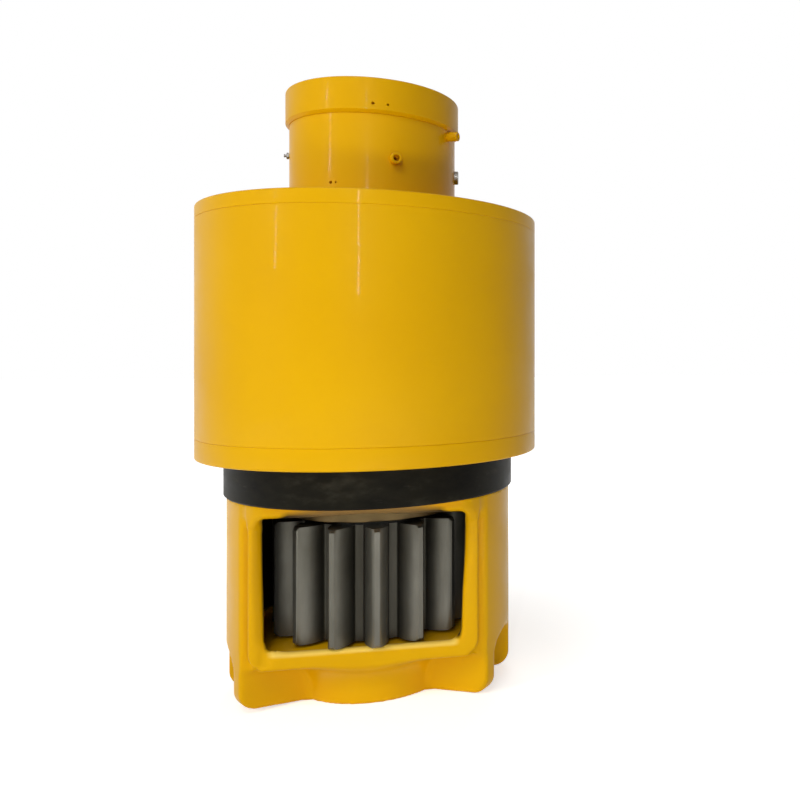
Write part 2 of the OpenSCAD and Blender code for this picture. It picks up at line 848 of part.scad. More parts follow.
// The ball track, cut into both races
module ball_track() {
    rotate_extrude() translate([ball_at, input_z + input_w / 2]) circle(r = ball_r + soft_gap);
}

// Balls of the input bearing and their cage
module input_balls() {
    middle = input_z + input_w / 2;
    color(bright) around(ball_n, ball_at) translate([0, 0, middle]) sphere(r = ball_r);
    color(bronze) difference() {
        ring(ball_at + 3.5, ball_at - 3.5, middle - 11.5, middle + 11.5);
        around(ball_n, ball_at) translate([0, 0, middle]) sphere(r = ball_r + soft_gap);
    }
}

module input_outer_race() {
    color(bright) difference() {
        ring(input_r, ball_at + 5, input_z, input_top);
        ball_track();
    }
}

// Inner race of the input bearing, on the shaft
module input_inner_race() {
    color(bright) difference() {
        ring(ball_at - 5, input_shaft_r, input_z, input_top);
        ball_track();
    }
}

// Sleeve that holds the output seal and the upper bearing
module seal_carrier() {
    color(bright) difference() {
        union() {
            bar(nose_r, nose_z, roof_z);
            bar(roof_hole_r, roof_z, shoulder_z);
            bar(carrier_sleeve_r, shoulder_z, case_z);
        }
        bar(seal_out_r, nose_z - over, nose_z + seal_seat_h);
        bar(seal_r + 4, nose_z, upper_z + over);
        bar(upper_r - race_t(upper_bore, upper_od) - 2, upper_z - carrier_floor_t / 2, upper_z + over);
        bar(upper_r, upper_z, case_z + over);
        o_groove(roof_hole_r, roof_z + shoulder_t / 2);
    }
}

// Lip seal on the pinion shaft
module shaft_seal() {
    color(rubber) rotate_extrude() polygon([
        [seal_out_r, nose_z + seal_seat_h - seal_lip_h], [seal_out_r, nose_z + seal_seat_h],
        [seal_r + 7, nose_z + seal_seat_h],
        [seal_r + 7, nose_z + 13], [seal_out_r - 3, nose_z + 13], [seal_out_r - 3, nose_z + 5],
        [seal_r + 5, nose_z + 5], [seal_r + 3, nose_z + 10], [seal_r + soft_gap, nose_z + 8],
        [seal_r + 2, nose_z + 2]]);
}

// Ring that holds the upper bearing down
module bearing_retainer() {
    color(steel) difference() {
        union() {
            bar(retainer_r, case_z, case_z + retainer_t);
            bar(upper_r, upper_top, case_z);
        }
        bar(upper_r - race_t(upper_bore, upper_od) + 1, upper_top - over, case_z + retainer_t + over);
        around(retainer_screws_n, retainer_screw_r, retainer_screw_az) {
            bar(retainer_screw_d / 2 + bolt_ease, case_z - over, case_z + retainer_t + over);
            bar(head_r(retainer_screw_d) + head_ease, retainer_seat_z, case_z + retainer_t + over);
        }
    }
}

module retainer_screws() {
    color(steel) around(retainer_screws_n, retainer_screw_r, retainer_screw_az)
        cap_screw(retainer_screw_d, retainer_seat_z, retainer_screw_l, head_r(retainer_screw_d),
            retainer_screw_d);
}

// Cover under the lower bearing
module lower_bearing_cover() {
    color(yellow) difference() {
        union() {
            bar(lower_cover_r, lower_cover_z, lower_recess_z);
            bar(lower_r, lower_recess_z, lower_z);
        }
        bar(lower_r - race_t(lower_bore, lower_od), lower_recess_z - 8, lower_z + over);
        o_groove(lower_cover_r, lower_cover_z + lower_cover_t / 2);
        around(lower_screws_n, lower_screw_r, lower_screw_az) {
            bar(lower_screw_d / 2 + head_ease, lower_cover_z - over, lower_recess_z + over);
            bar(head_r(lower_screw_d) + head_ease, lower_cover_z - over, lower_seat_z);
        }
    }
}

module lower_cover_screws() {
    color(steel) around(lower_screws_n, lower_screw_r, lower_screw_az) mirror([0, 0, 1])
        cap_screw(lower_screw_d, -lower_seat_z, lower_screw_l, head_r(lower_screw_d), lower_screw_d);
}

// Vent stub near the top of the neck
module vent_stub() {
    color(yellow) on_side(vent_az, neck_r - seat_in, neck_z + vent_up) difference() {
        union() {
            cylinder(r = vent_r, h = seat_in);
            translate([0, 0, seat_in - spot_depth]) cylinder(r = vent_head_r, h = vent_l + spot_depth);
        }
        translate([0, 0, -over]) cylinder(r = vent_bore_r, h = seat_in + vent_l + 2 * over);
    }
}

// Brake line fitting halfway up the neck
module brake_port() {
    color(yellow) on_side(port_az, neck_r - seat_in, neck_z + port_up) difference() {
        union() {
            cylinder(r = port_r, h = seat_in);
            translate([0, 0, seat_in - spot_depth]) cylinder(r = port_head_r, h = port_l + spot_depth);
        }
        translate([0, 0, -over]) cylinder(r = port_duct_r, h = seat_in + 2 * over);
        translate([0, 0, seat_in]) cylinder(r = port_bore_r, h = port_l + over);
    }
}

// Screwed plug on the side of the neck
module side_plug() {
    color(steel) on_side(plug_az, neck_r - seat_in, neck_z + plug_up) difference() {
        union() {
            cylinder(r = plug_r, h = seat_in);
            translate([0, 0, seat_in - spot_depth]) cylinder(r = plug_head_r, h = plug_l + spot_depth);
        }
        translate([0, 0, seat_in + over]) cylinder(r = plug_key_r, h = plug_l, $fn = 6);
    }
}

// Bleed nipple on the other side of the neck
module bleed_nipple() {
    color(steel) on_side(nipple_az, neck_r - seat_in, neck_z + nipple_up) union() {
        cylinder(r = nipple_r, h = seat_in + over);
        translate([0, 0, seat_in + over / 2]) cylinder(r = nipple_hex_r, h = nipple_r, $fn = 6);
        translate([0, 0, seat_in + nipple_r]) cylinder(r = nipple_tip_r, h = nipple_r + over);
    }
}

// Steel plates, held from turning by their lugs
module brake_plates() {
    color(bright) for (i = [0:plate_count - 1]) translate([0, 0, brake_floor_z + i * stack_step])
        difference() {
            union() {
                cylinder(r = plate_r - 2 * seal_gap, h = plate_t);
                intersection() {
                    cylinder(r = lug_r - 2 * seal_gap, h = plate_t);
                    lug_slots(0, plate_t, lug_w);
                }
            }
            translate([0, 0, -over]) cylinder(r = hub_spline_r + 15, h = plate_t + 2 * over);
        }
}

// Lined discs, turned by the shaft's hub
module friction_discs() {
    color(lining) for (i = [0:disc_count - 1])
        translate([0, 0, brake_floor_z + i * stack_step + plate_t + disc_gap]) difference() {
            cylinder(r = disc_r, h = disc_t);
            splined(hub_spline_r, hub_spline_teeth, hub_spline_depth, -over, disc_t + over, spline_ease);
        }
}

// Snap ring under the input bearing
module input_bearing_circlip() {
    color(steel) difference() {
        ring(input_r + 4, input_r - 5, input_z - circlip_t, input_z);
        translate([0, -input_r, input_z - circlip_t - over]) rotate([0, 0, -45])
            cube([22, 22, circlip_t + 2 * over]);
    }
}

// One rubber ring that fills its groove in the outside of a spigot
module o_ring(spigot_r, up) {
    rotate_extrude() translate([spigot_r - oring_d / 2, up]) circle(d = oring_d);
}

// The groove of such a ring
module o_groove(spigot_r, up) {
    ring(spigot_r + over, spigot_r - oring_d, up - 0.65 * oring_d, up + 0.65 * oring_d);
}

// Rubber rings between the casings
module o_rings() {
    color(rubber) {
        o_ring(case_bore_r, case_z + oring_up);
        o_ring(case_bore_r, cover_z - oring_up);
        o_ring(roof_hole_r, roof_z + shoulder_t / 2);
        o_ring(lower_cover_r, lower_cover_z + lower_cover_t / 2);
    }
}

// Stepped ring piston of the brake
module brake_piston() {
    color(steel) difference() {
        union() {
            bar(plate_r - seal_gap, plates_top, piston_step_z);
            bar(cylinder_r - seal_gap, piston_step_z, piston_top);
        }
        bar(spring_in_r - 12, plates_top - over, piston_top + over);
        o_groove(cylinder_r - seal_gap, piston_top - piston_ring_in);
        o_groove(plate_r - seal_gap, piston_step_z - piston_ring_in);
    }
}

// Rubber rings of the piston
module piston_seals() {
    color(rubber) {
        o_ring(cylinder_r - seal_gap, piston_top - piston_ring_in);
        o_ring(plate_r - seal_gap, piston_step_z - piston_ring_in);
    }
}

// Cone springs stacked face to face above the piston
module brake_springs() {
    rise = spring_h - spring_t;
    color(dark) for (i = [0:spring_count - 1])
        translate([0, 0, piston_top + i * spring_h]) rotate_extrude()
            polygon(i % 2 == 0
                ? [[spring_out_r, 0], [spring_out_r, spring_t], [spring_in_r, spring_h],
                    [spring_in_r, rise]]
                : [[spring_in_r, 0], [spring_in_r, spring_t], [spring_out_r, spring_h],
                    [spring_out_r, rise]]);
}

// Slewing pinion and its shaft, cut from one forging
module pinion_shaft() {
    color(steel) union() {
        intersection() {
            translate([0, 0, pinion_z]) rotate([0, 0, pinion_turn]) linear_extrude(pinion_face)
                polygon(gear_outline(pinion_module, pinion_teeth, pinion_pressure_angle, pinion_tip_r,
                    pinion_root_r, pinion_shift * pinion_module * tan(pinion_pressure_angle),
                    pinion_flank_steps));
            rotate_extrude() polygon([
                [0, pinion_z], [pinion_tip_r - pinion_chamfer, pinion_z],
                [pinion_tip_r, pinion_z + pinion_chamfer], [pinion_tip_r, pinion_top - pinion_chamfer],
                [pinion_tip_r - pinion_chamfer, pinion_top], [0, pinion_top]]);
        }
        bar(lower_shaft_r + 13, lower_z + lower_w, pinion_z + over);
        difference() {
            bar(lower_shaft_r, lower_z - circlip_t - 5, lower_z + lower_w + over);
            ring(lower_shaft_r + over, lower_shaft_r - 4, lower_z - circlip_t, lower_z);
        }
        bar(seal_r, pinion_top - over, upper_z);
        bar(upper_bore / 2, upper_z - over, upper_top);
        difference() {
            splined(output_spline_r - output_spline_depth, output_spline_teeth, output_spline_depth,
                upper_top - over, shaft_top);
            ring(output_spline_r + over, output_spline_r - 9, snap_z, snap_z + snap_t);
        }
    }
}

// Snap ring under the lower bearing
module lower_bearing_circlip() {
    color(steel) difference() {
        ring(lower_shaft_r + 9, lower_shaft_r - 4, lower_z - circlip_t, lower_z);
        translate([0, -lower_shaft_r, lower_z - circlip_t - over]) rotate([0, 0, -135])
            cube([20, 20, circlip_t + 2 * over]);
    }
}

// Snap ring that holds the second carrier on the shaft
module carrier_snap_ring() {
    color(steel) difference() {
        ring(output_spline_r + 6, output_spline_r - 9, snap_z, snap_z + snap_t);
        translate([0, -output_spline_r, snap_z - over]) rotate([0, 0, -135])
            cube([25, 25, snap_t + 2 * over]);
    }
}

// Two plates joined by three posts, with seats for the planet pins
module carrier(out_r, low, plate_top, upper, top, post_r, post_at, pin_r, center) {
    difference() {
        union() {
            bar(out_r, low, plate_top);
            bar(out_r, upper, top);
            for (k = [0:2]) rotate([0, 0, 60 + k * 120]) translate([post_at, 0, 0])
                bar(post_r, plate_top - over, upper + over);
        }
        for (k = [0:2]) rotate([0, 0, k * 120]) translate([center, 0, 0]) bar(pin_r, low - over, top + over);
    }
}

// Carrier of the second stage, splined on the pinion shaft
module second_carrier() {
    plate_top = second_carrier_z + carrier_plate;
    color(steel) difference() {
        union() {
            carrier(second_carrier_r, second_carrier_z, plate_top, second_upper_z, second_carrier_top,
                second_post_r, second_post_at, second_pin_r, second_center);
            bar(output_hub_r, upper_top, second_carrier_z + over);
        }
        splined(output_spline_r - output_spline_depth, output_spline_teeth, output_spline_depth,
            upper_top - over, plate_top, spline_ease);
        bar(output_spline_r + 9, snap_z, plate_top + over);
        bar(second_module * (second_sun_teeth / 2 + 1) + 5, second_upper_z - over, second_carrier_top + over);
    }
}

// Pins of three planets
module planet_pins(center, r, low, top) {
    color(bright) for (k = [0:2]) rotate([0, 0, k * 120]) translate([center, 0, 0]) bar(r, low, top);
}

module second_planet_pins() {
    planet_pins(second_center, second_pin_r, second_carrier_z, second_carrier_top);
}

module first_planet_pins() {
    planet_pins(first_center, first_pin_r, first_carrier_z, first_carrier_top);
}

// Washers above and below three planets
module washers(center, pin_r, low, top) {
    color(bronze) for (k = [0:2], seat = [low - side_play - washer_t, top + side_play])
        rotate([0, 0, k * 120]) translate([center, 0, 0]) ring(pin_r + 20, pin_r, seat, seat + washer_t);
}

module second_washers() {
    washers(second_center, second_pin_r, second_z, second_top);
}

module first_washers() {
    washers(first_center, first_pin_r, first_z, first_top);
}

// One planet, bored for its bush
module planet(k, m, sun, teeth, center, bush_r, low, high) {
    color(steel) rotate([0, 0, k * 120]) translate([center, 0, 0]) rotate([0, 0, -k * 120]) difference() {
        rotate([0, 0, planet_turn(k, sun, teeth)]) spur(m, teeth, low, high);
        bar(bush_r, low - over, high + over);
    }
}

// Bronze bush pressed into a planet
module bush(k, center, pin_r, low, high) {
    color(bronze) rotate([0, 0, k * 120]) translate([center, 0, 0])
        ring(pin_r + bush_t, pin_r + run_fit, low, high);
}

module second_planet(k) {
    planet(k, second_module, second_sun_teeth, second_planet_teeth, second_center,
        second_pin_r + bush_t, second_z, second_top);
}

module first_planet(k) {
    planet(k, first_module, first_sun_teeth, first_planet_teeth, first_center,
        first_pin_r + bush_t, first_z, first_top);
}

module second_bush(k) {
    bush(k, second_center, second_pin_r, second_z, second_top);
}

module first_bush(k) {
    bush(k, first_center, first_pin_r, first_z, first_top);
}

// Carrier of the first stage, splined on the second sun
module first_carrier() {
    plate_top = first_carrier_z + carrier_plate;
    color(steel) difference() {
        union() {
            carrier(first_carrier_r, first_carrier_z, plate_top, first_upper_z, first_carrier_top,
                first_post_r, first_post_at, first_pin_r, first_center);
            bar(sun_spline_r + 22, first_hub_z, first_carrier_z + over);
        }
        splined(sun_spline_r - sun_spline_depth, sun_spline_teeth, sun_spline_depth, first_hub_z - over,
            plate_top + over, spline_ease);
        bar(first_module * (first_sun_teeth / 2 + 1) + 5, first_upper_z - over, first_carrier_top + over);
    }
}

// Sun of the second stage, with a spline up into the first carrier
module second_sun_gear() {
    color(steel) difference() {
        union() {
            spur(second_module, second_sun_teeth, second_sun_z, second_top);
            splined(sun_spline_r - sun_spline_depth, sun_spline_teeth, sun_spline_depth,
                second_top - over, second_sun_top);
        }
        bar(sun_bore_r, second_sun_z - over, second_sun_top + over);
    }
}

// Sun of the first stage, with a sleeve up to the input bearing
module first_sun_gear() {
    color(steel) difference() {
        union() {
            spur(first_module, first_sun_teeth, sun_z, first_top);
            bar(first_module * (first_sun_teeth / 2 - 1.25), first_top - over, input_z);
        }
        splined(input_spline_r, input_spline_teeth, input_spline_depth, sun_z - over, input_z + over,
            spline_ease);
    }
}

// Input shaft: spline for the sun, bearing seat, hub for the discs and socket for the motor
module input_shaft() {
    color(steel) difference() {
        union() {
            splined(input_spline_r, input_spline_teeth, input_spline_depth, input_low_z, input_z);
            bar(input_shaft_r, input_z, input_top + over);
            splined(hub_spline_r, hub_spline_teeth, hub_spline_depth, input_top, plates_top + 4);
            bar(shaft_end_r, plates_top + 3, input_end_z);
        }
        bar(socket_r, input_end_z - socket_lead, input_end_z + over);
        splined(socket_r - 3, socket_spline_teeth, socket_spline_depth, input_end_z - socket_h,
            input_end_z - socket_lead + over);
    }
}

pinion_housing();
pilot_ring();
gear_case();
second_ring_gear();
first_ring_gear();
ring_gear_pins();
brake_housing();
case_bolts();
motor_adapter();
adapter_screws();
upper_outer_race();
lower_outer_race();
input_outer_race();
seal_carrier();
shaft_seal();
bearing_retainer();
retainer_screws();
lower_bearing_cover();
lower_cover_screws();
vent_stub();
brake_port();
side_plug();
bleed_nipple();
brake_plates();
input_bearing_circlip();
o_rings();
brake_piston();
piston_seals();
brake_springs();
pinion_shaft();
second_carrier();
second_planet_pins();
second_washers();
upper_inner_race();
lower_inner_race();
lower_bearing_circlip();
carrier_snap_ring();
second_planet(0);  // second_planet_1
second_planet(1);  // second_planet_2
second_planet(2);  // second_planet_3
second_bush(0);  // second_bush_1
second_bush(1);  // second_bush_2
second_bush(2);  // second_bush_3
first_carrier();
first_planet_pins();
first_washers();
second_sun_gear();
first_planet(0);  // first_planet_1
first_planet(1);  // first_planet_2
first_planet(2);  // first_planet_3
first_bush(0);  // first_bush_1
first_bush(1);  // first_bush_2
first_bush(2);  // first_bush_3
input_shaft();
first_sun_gear();
friction_discs();
input_inner_race();
upper_rollers();
lower_rollers();
input_balls();
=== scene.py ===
import math

import bmesh
import bpy
import numpy as np
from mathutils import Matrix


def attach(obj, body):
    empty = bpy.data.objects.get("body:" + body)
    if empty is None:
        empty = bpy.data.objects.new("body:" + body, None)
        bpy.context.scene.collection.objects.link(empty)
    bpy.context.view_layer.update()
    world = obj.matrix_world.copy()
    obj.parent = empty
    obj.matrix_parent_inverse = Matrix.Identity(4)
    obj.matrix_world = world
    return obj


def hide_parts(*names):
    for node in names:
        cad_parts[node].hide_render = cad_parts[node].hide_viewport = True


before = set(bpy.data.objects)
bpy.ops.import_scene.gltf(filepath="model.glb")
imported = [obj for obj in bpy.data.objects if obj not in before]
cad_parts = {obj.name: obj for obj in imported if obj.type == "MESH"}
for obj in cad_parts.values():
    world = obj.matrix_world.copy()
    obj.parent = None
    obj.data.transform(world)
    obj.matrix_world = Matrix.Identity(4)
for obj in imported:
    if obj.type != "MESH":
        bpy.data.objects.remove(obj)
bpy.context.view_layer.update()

# Camera
# The photograph was cropped from a wider picture, so the object stands left of the lens axis.
# The camera is level, about 1.6 m from the gearbox and 0.6 m above its foot.
PHOTO_SIZE = 800
CAMERA_AZIMUTH = math.radians(4.5)
CAMERA_DISTANCE = 1.6167
CAMERA_HEIGHT = 0.6009
CAMERA_HEADING = math.radians(17.131 - 4.5)
FOCAL_PX = 821.014
LENS_AXIS_PX = (627.325, 354.149)
camera_data = bpy.data.cameras.new("camera")
camera_data.sensor_width = 36
camera_data.lens = camera_data.sensor_width * FOCAL_PX / PHOTO_SIZE
camera_data.shift_x = (PHOTO_SIZE / 2 - LENS_AXIS_PX[0]) / PHOTO_SIZE
camera_data.shift_y = (LENS_AXIS_PX[1] - PHOTO_SIZE / 2) / PHOTO_SIZE
camera = bpy.data.objects.new("camera", camera_data)
camera.location = (CAMERA_DISTANCE * math.sin(CAMERA_AZIMUTH),
                   -CAMERA_DISTANCE * math.cos(CAMERA_AZIMUTH), CAMERA_HEIGHT)
camera.rotation_euler = (math.pi / 2, 0, -CAMERA_HEADING)
bpy.context.scene.collection.objects.link(camera)
bpy.context.scene.camera = camera
bpy.context.scene.view_settings.view_transform = "Standard"

# Pinion cage
# Lower half of the housing, cast in nodular iron and sprayed with gloss enamel: a round wall with
# a flat front and a window in it, a groove that sets the window's frame apart from the front fins,
# arches between the fins under the floor, and the boss of the lower bearing in a wide fillet.
CAGE_R, CAVITY_R, BOSS_R = 250.0, 220.0, 139.0
FLOOR_Z, FLOOR_TOP, ROOF_Z, CAGE_TOP = 76.0, 102.0, 335.0, 354.0
FRONT_Y, HEAD_Y, HEAD_Z, HEAD_RUN, HEAD_LEAN = 165.0, 186.0, 312.0, 26.0, 0.8
LIP_Y, LIP_Z, LINTEL_Z, WINDOW_BACK_Y = 150.0, 105.3, 332.0, 60.0
SILL_HALF, LINTEL_HALF, WIDER_LEFT, WIDER_RIGHT, TAPER_RUN = 156.0, 164.0, 3.0, 0.5, 201.0
CORNER_LEFT, CORNER_RIGHT, CORNER_TOP = 34.0, 22.0, 10.0
JAMB_X, JAMB_RUN, ROUND_LEFT, ROUND_RIGHT, ROUND_RIGHT_HIGH = 124.0, 30.0, 15.0, 2.0, 8.0
HIGH_Z, HIGH_RUN, EDGE_ROUND, EDGE_LOSS, EDGE_Z, EDGE_RUN = 190.0, 70.0, 7.0, 2.5, 250.0, 60.0
BOSS_FILLET, FIN_HALF, FIN_ROUND, FIN_FLARE, FIN_RISE, SIDE_RISE = 52.0, 15.0, 27.0, 12.0, 9.0, 1.5
FIN_EDGE, FIN_FILLET, FIN_ROOT = 5.0, 11.0, 4.0
FRONT_FIN = math.radians(57)
SIDE_FINS = [math.radians(a) for a in (90, 123, 180, -123, -90)]
ARCHES = [(math.radians(a), half) for a, half in
          ((73.5, 58), (106.5, 58), (151.5, 108), (-151.5, 108), (-106.5, 58), (-73.5, 58))]
ARCH_RISE, ARCH_SLOPE = 19.0, math.radians(12)
PANEL_EDGE, PANEL_ROUND = CAGE_R * math.radians(49.4), 32.0
GROOVE_EDGE, GROOVE_R, GROOVE_FADE_Z = CAGE_R * math.radians(53.4), 234.0, 306.0
GROOVE_SLANT, GROOVE_FLOOR_ROUND, GROOVE_LIP_ROUND = (0.86, 0.5), 5.0, 4.5
ENTRY_R, SLEEVE_SEAT_R, SLEEVE_SEAT_Z = 181.0, 191.0, 351.0
BEARING_SEAT_R, BEARING_LAND_R, COVER_SEAT_R = 100.3, 84.0, 130.4
BEARING_SEAT_TOP, COVER_SEAT_TOP = 87.0, 22.0
CAGE_GRID = 4.0
FAR = 99.0
MM = 0.001


def join(a, b, radius):
    """Union of two distance fields with a fillet of the radius in the inner corner: the smaller of
    the two, and near both surfaces the radius less the distance to the fillet's own centre."""
    return np.maximum(radius, np.minimum(a, b)) - np.hypot(np.maximum(radius - a, 0), np.maximum(radius - b, 0))


def keep(a, b, radius):
    """Intersection of two distance fields with the outer corner rounded to the radius."""
    return -join(-a, -b, radius)


def fins(x, y, z, iron):
    """The casting with its fins: each is a web between two planes along its azimuth, inside the
    wall's radius and with a rounded foot that rises a little outwards; the front pair widens in a
    straight line to the boss."""
    r, az = np.hypot(x, y), np.arctan2(x, -y)
    for fin, front in [(a, 0) for a in SIDE_FINS] + [(FRONT_FIN, -1), (-FRONT_FIN, 1)]:
        side, out = r * np.sin(az - fin), r * np.cos(az - fin)
        flare = FIN_FLARE * np.clip((CAGE_R - out) / (CAGE_R - BOSS_R), 0, 1)
        web = np.maximum(side - FIN_HALF - (flare if front > 0 else 0),
                         -side - FIN_HALF - (flare if front < 0 else 0))
        rise = (FIN_RISE if front > 0 else SIDE_RISE) * np.clip((out - BOSS_R) / (CAGE_R - BOSS_R), 0, 1)
        foot = keep(r - CAGE_R, rise - z, FIN_ROUND)
        web = np.maximum(keep(web, foot, FIN_EDGE), z - FLOOR_TOP + FIN_ROOT)
        iron = join(iron, np.where(out > 0, web, FAR), FIN_FILLET)
    return iron


def cage_field(x, y, z):
    """Distance, in mm, to the casting's surface at points in mm, below 0 inside the iron. Walls,
    arches, window and bores are planes and cylinders; join and keep round each corner between them.
    The front is a plane that comes forward under the register, and the window's left jamb has the
    larger rounding."""
    r, az = np.hypot(x, y), np.arctan2(x, -y)
    under = FLOOR_Z - z
    for middle, half in ARCHES:
        arch_r = (half * half + ARCH_RISE ** 2) / (2 * ARCH_RISE)
        side, out = r * np.sin(az - middle), r * np.cos(az - middle)
        up = (z - FLOOR_Z - ARCH_RISE) * math.cos(ARCH_SLOPE) - (out - CAGE_R) * math.sin(ARCH_SLOPE)
        arch = arch_r - np.hypot(side, up + arch_r)
        under = np.where(np.cos(az - middle) > 0.5, keep(under, arch, 3.0), under)
    run = CAGE_R * np.abs(az)
    wall = keep(r - CAGE_R, under, EDGE_ROUND)
    iron = join(wall, keep(r - BOSS_R, -z, 3.0), BOSS_FILLET)
    front = FRONT_Y + (HEAD_Y - FRONT_Y) * np.clip((z - HEAD_Z) / HEAD_RUN, 0, 1)
    iron = keep(iron, (-front - y) * HEAD_LEAN, EDGE_ROUND)
    iron = fins(x, y, z, iron)
    panel = keep(run - PANEL_EDGE, FLOOR_Z - z, PANEL_ROUND)
    outer_wall = (run - GROOVE_EDGE) * GROOVE_SLANT[0] + (CAGE_R - r) * GROOVE_SLANT[1]
    bottom = GROOVE_R + (CAGE_R - GROOVE_R) * np.clip((z - GROOVE_FADE_Z) / (ROOF_Z - GROOVE_FADE_Z), 0, 1)
    groove = keep(keep(-panel, outer_wall, 2.0), bottom - r, GROOVE_FLOOR_ROUND)
    iron = keep(iron, -groove, GROOVE_LIP_ROUND)
    half = SILL_HALF + (LINTEL_HALF - SILL_HALF) * np.clip((z - FLOOR_TOP - CORNER_RIGHT) / TAPER_RUN, 0, 1)
    half = half + np.where(x < 0, WIDER_LEFT, WIDER_RIGHT)
    corner = np.where(x < 0, CORNER_LEFT, CORNER_RIGHT)
    window = keep(keep(np.abs(x) - half, LIP_Z - z, corner), z - LINTEL_Z, CORNER_TOP)
    window = np.maximum(window, y + WINDOW_BACK_Y)
    space = np.maximum(np.maximum(r - CAVITY_R, -LIP_Y - y), np.maximum(FLOOR_TOP - z, z - ROOF_Z))
    jamb = np.clip((np.abs(x) - JAMB_X) / JAMB_RUN, 0, 1) * np.clip((ROOF_Z - 4 - z) / JAMB_RUN, 0, 1)
    right_round = ROUND_RIGHT + ROUND_RIGHT_HIGH * np.clip((z - HIGH_Z) / HIGH_RUN, 0, 1)
    jamb_round = np.where(x < 0, ROUND_LEFT, right_round)
    edge = EDGE_ROUND - EDGE_LOSS * np.clip((z - EDGE_Z) / EDGE_RUN, 0, 1) + jamb_round * jamb
    iron = keep(iron, -join(window, space, 3.0), edge)
    entry = np.maximum(r - np.where(z < SLEEVE_SEAT_Z, ENTRY_R, SLEEVE_SEAT_R), ROOF_Z - 5 - z)
    land = np.maximum(r - BEARING_LAND_R, BEARING_SEAT_TOP - 4 - z)
    seat = np.maximum(r - BEARING_SEAT_R, z - BEARING_SEAT_TOP)
    cover_seat = np.maximum(r - COVER_SEAT_R, z - COVER_SEAT_TOP)
    low_land = np.where(z < FLOOR_TOP + 4, land, FAR)
    bores = np.minimum(np.minimum(entry, low_land), np.minimum(seat, cover_seat))
    iron = keep(keep(iron, -bores, 1.0), z - CAGE_TOP - 2, 0.5)
    return np.maximum(np.maximum(iron, r - CAGE_R), -z)


def net(field, low, high, step):
    """Surface of a distance field: one point in each grid cell that the surface crosses, pulled onto
    the surface along the field's slope, and one quad round each grid edge that it crosses."""
    axes = [np.arange(a, b + step, step) for a, b in zip(low, high)]
    grid = np.meshgrid(*axes, indexing="ij")
    values = field(*grid)
    inner = values < 0
    corners = [(i, j, k) for i in (0, 1) for j in (0, 1) for k in (0, 1)]
    size = [n - 1 for n in values.shape]

    def cut(array, c):
        return array[c[0]:c[0] + size[0], c[1]:c[1] + size[1], c[2]:c[2] + size[2]]

    count = sum(cut(inner, c).astype(np.int8) for c in corners)
    cells = np.argwhere((count > 0) & (count < 8))
    index = np.full(size, -1)
    index[tuple(cells.T)] = np.arange(len(cells))
    total, hits = np.zeros((len(cells), 3)), np.zeros(len(cells))
    for a, axis in [(a, axis) for a in corners for axis in range(3) if not a[axis]]:
        b = tuple(v + (n == axis) for n, v in enumerate(a))
        va, vb = values[tuple((cells + a).T)], values[tuple((cells + b).T)]
        crossed = (va < 0) != (vb < 0)
        spot = cells + np.array(a, float)
        spot[:, axis] += np.where(crossed, va / np.where(va == vb, 1, va - vb), 0)
        total += spot * crossed[:, None]
        hits += crossed
    points = np.array([a[0] for a in axes]) + total / hits[:, None] * step
    for _ in range(3):
        here = field(*points.T)
        slope = np.stack([(field(*(points + 0.05 * np.eye(3)[n]).T) - here) / 0.05 for n in range(3)], 1)
        length = np.maximum((slope ** 2).sum(1), 0.3)
        points -= np.clip(here / length, -step, step)[:, None] * slope
    faces = []
    for axis in range(3):
        b, c = (axis + 1) % 3, (axis + 2) % 3
        edges = np.argwhere(np.moveaxis(inner, axis, 0)[:-1] != np.moveaxis(inner, axis, 0)[1:])
        others = [n for n in range(3) if n != axis]
        spots = np.zeros_like(edges)
        spots[:, axis], spots[:, others[0]], spots[:, others[1]] = edges.T
        spots = spots[(spots[:, b] > 0) & (spots[:, c] > 0)]
        back_b, back_c = np.eye(3, dtype=int)[b], np.eye(3, dtype=int)[c]
        quad = np.stack([index[tuple(q.T)] for q in
                         (spots, spots - back_b, spots - back_b - back_c, spots - back_c)], 1)
        flip = ~inner[tuple(spots.T)]
        quad[flip] = quad[flip][:, ::-1]
        faces.append(quad)
    return points, np.concatenate(faces)


def piece(name, points_mm, faces, finish, body="casing", slot=None):
    """A smooth mesh object in metres that rides on a body, from points in mm and faces."""
    mesh = bpy.data.meshes.new(name)
    faces = faces.tolist() if isinstance(faces, np.ndarray) else faces
    mesh.from_pydata((np.asarray(points_mm) * MM).tolist(), [], faces)
    mesh.validate()
    mesh.shade_smooth()
    mesh.materials.append(finish)
    made = bpy.data.objects.new(name, mesh)
    bpy.context.scene.collection.objects.link(made)
    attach(made, body)
    return made


def node(tree, kind, **values):
    """A shader node with its settings and input values."""
    made = tree.nodes.new(kind)
    for name, value in values.items():
        if name in made.inputs:
            made.inputs[name].default_value = value
        else:
            setattr(made, name, value)
    return made


def noise(tree, scale, detail=3.0, rough=0.5, stretch=(1, 1, 1)):
    """Noise over the object's own coordinates, in cycles per metre."""
    place = tree.nodes.new("ShaderNodeTexCoord")
    mapping = node(tree, "ShaderNodeMapping", Scale=stretch)
    made = node(tree, "ShaderNodeTexNoise", Scale=scale, Detail=detail, Roughness=rough)
    tree.links.new(place.outputs["Object"], mapping.inputs["Vector"])
    tree.links.new(mapping.outputs["Vector"], made.inputs["Vector"])
    return made.outputs["Fac"]


def along(tree, pick):
    """Length of the object coordinates once each is multiplied by pick, in metres: (1, 1, 0) gives
    the distance from the axis, and (0, 0, 1) the height."""
    place = tree.nodes.new("ShaderNodeTexCoord")
    picked = node(tree, "ShaderNodeVectorMath", operation="MULTIPLY")
    picked.inputs[1].default_value = pick
    length = node(tree, "ShaderNodeVectorMath", operation="LENGTH")
    tree.links.new(place.outputs["Object"], picked.inputs[0])
    tree.links.new(picked.outputs["Vector"], length.inputs[0])
    return length.outputs["Value"]


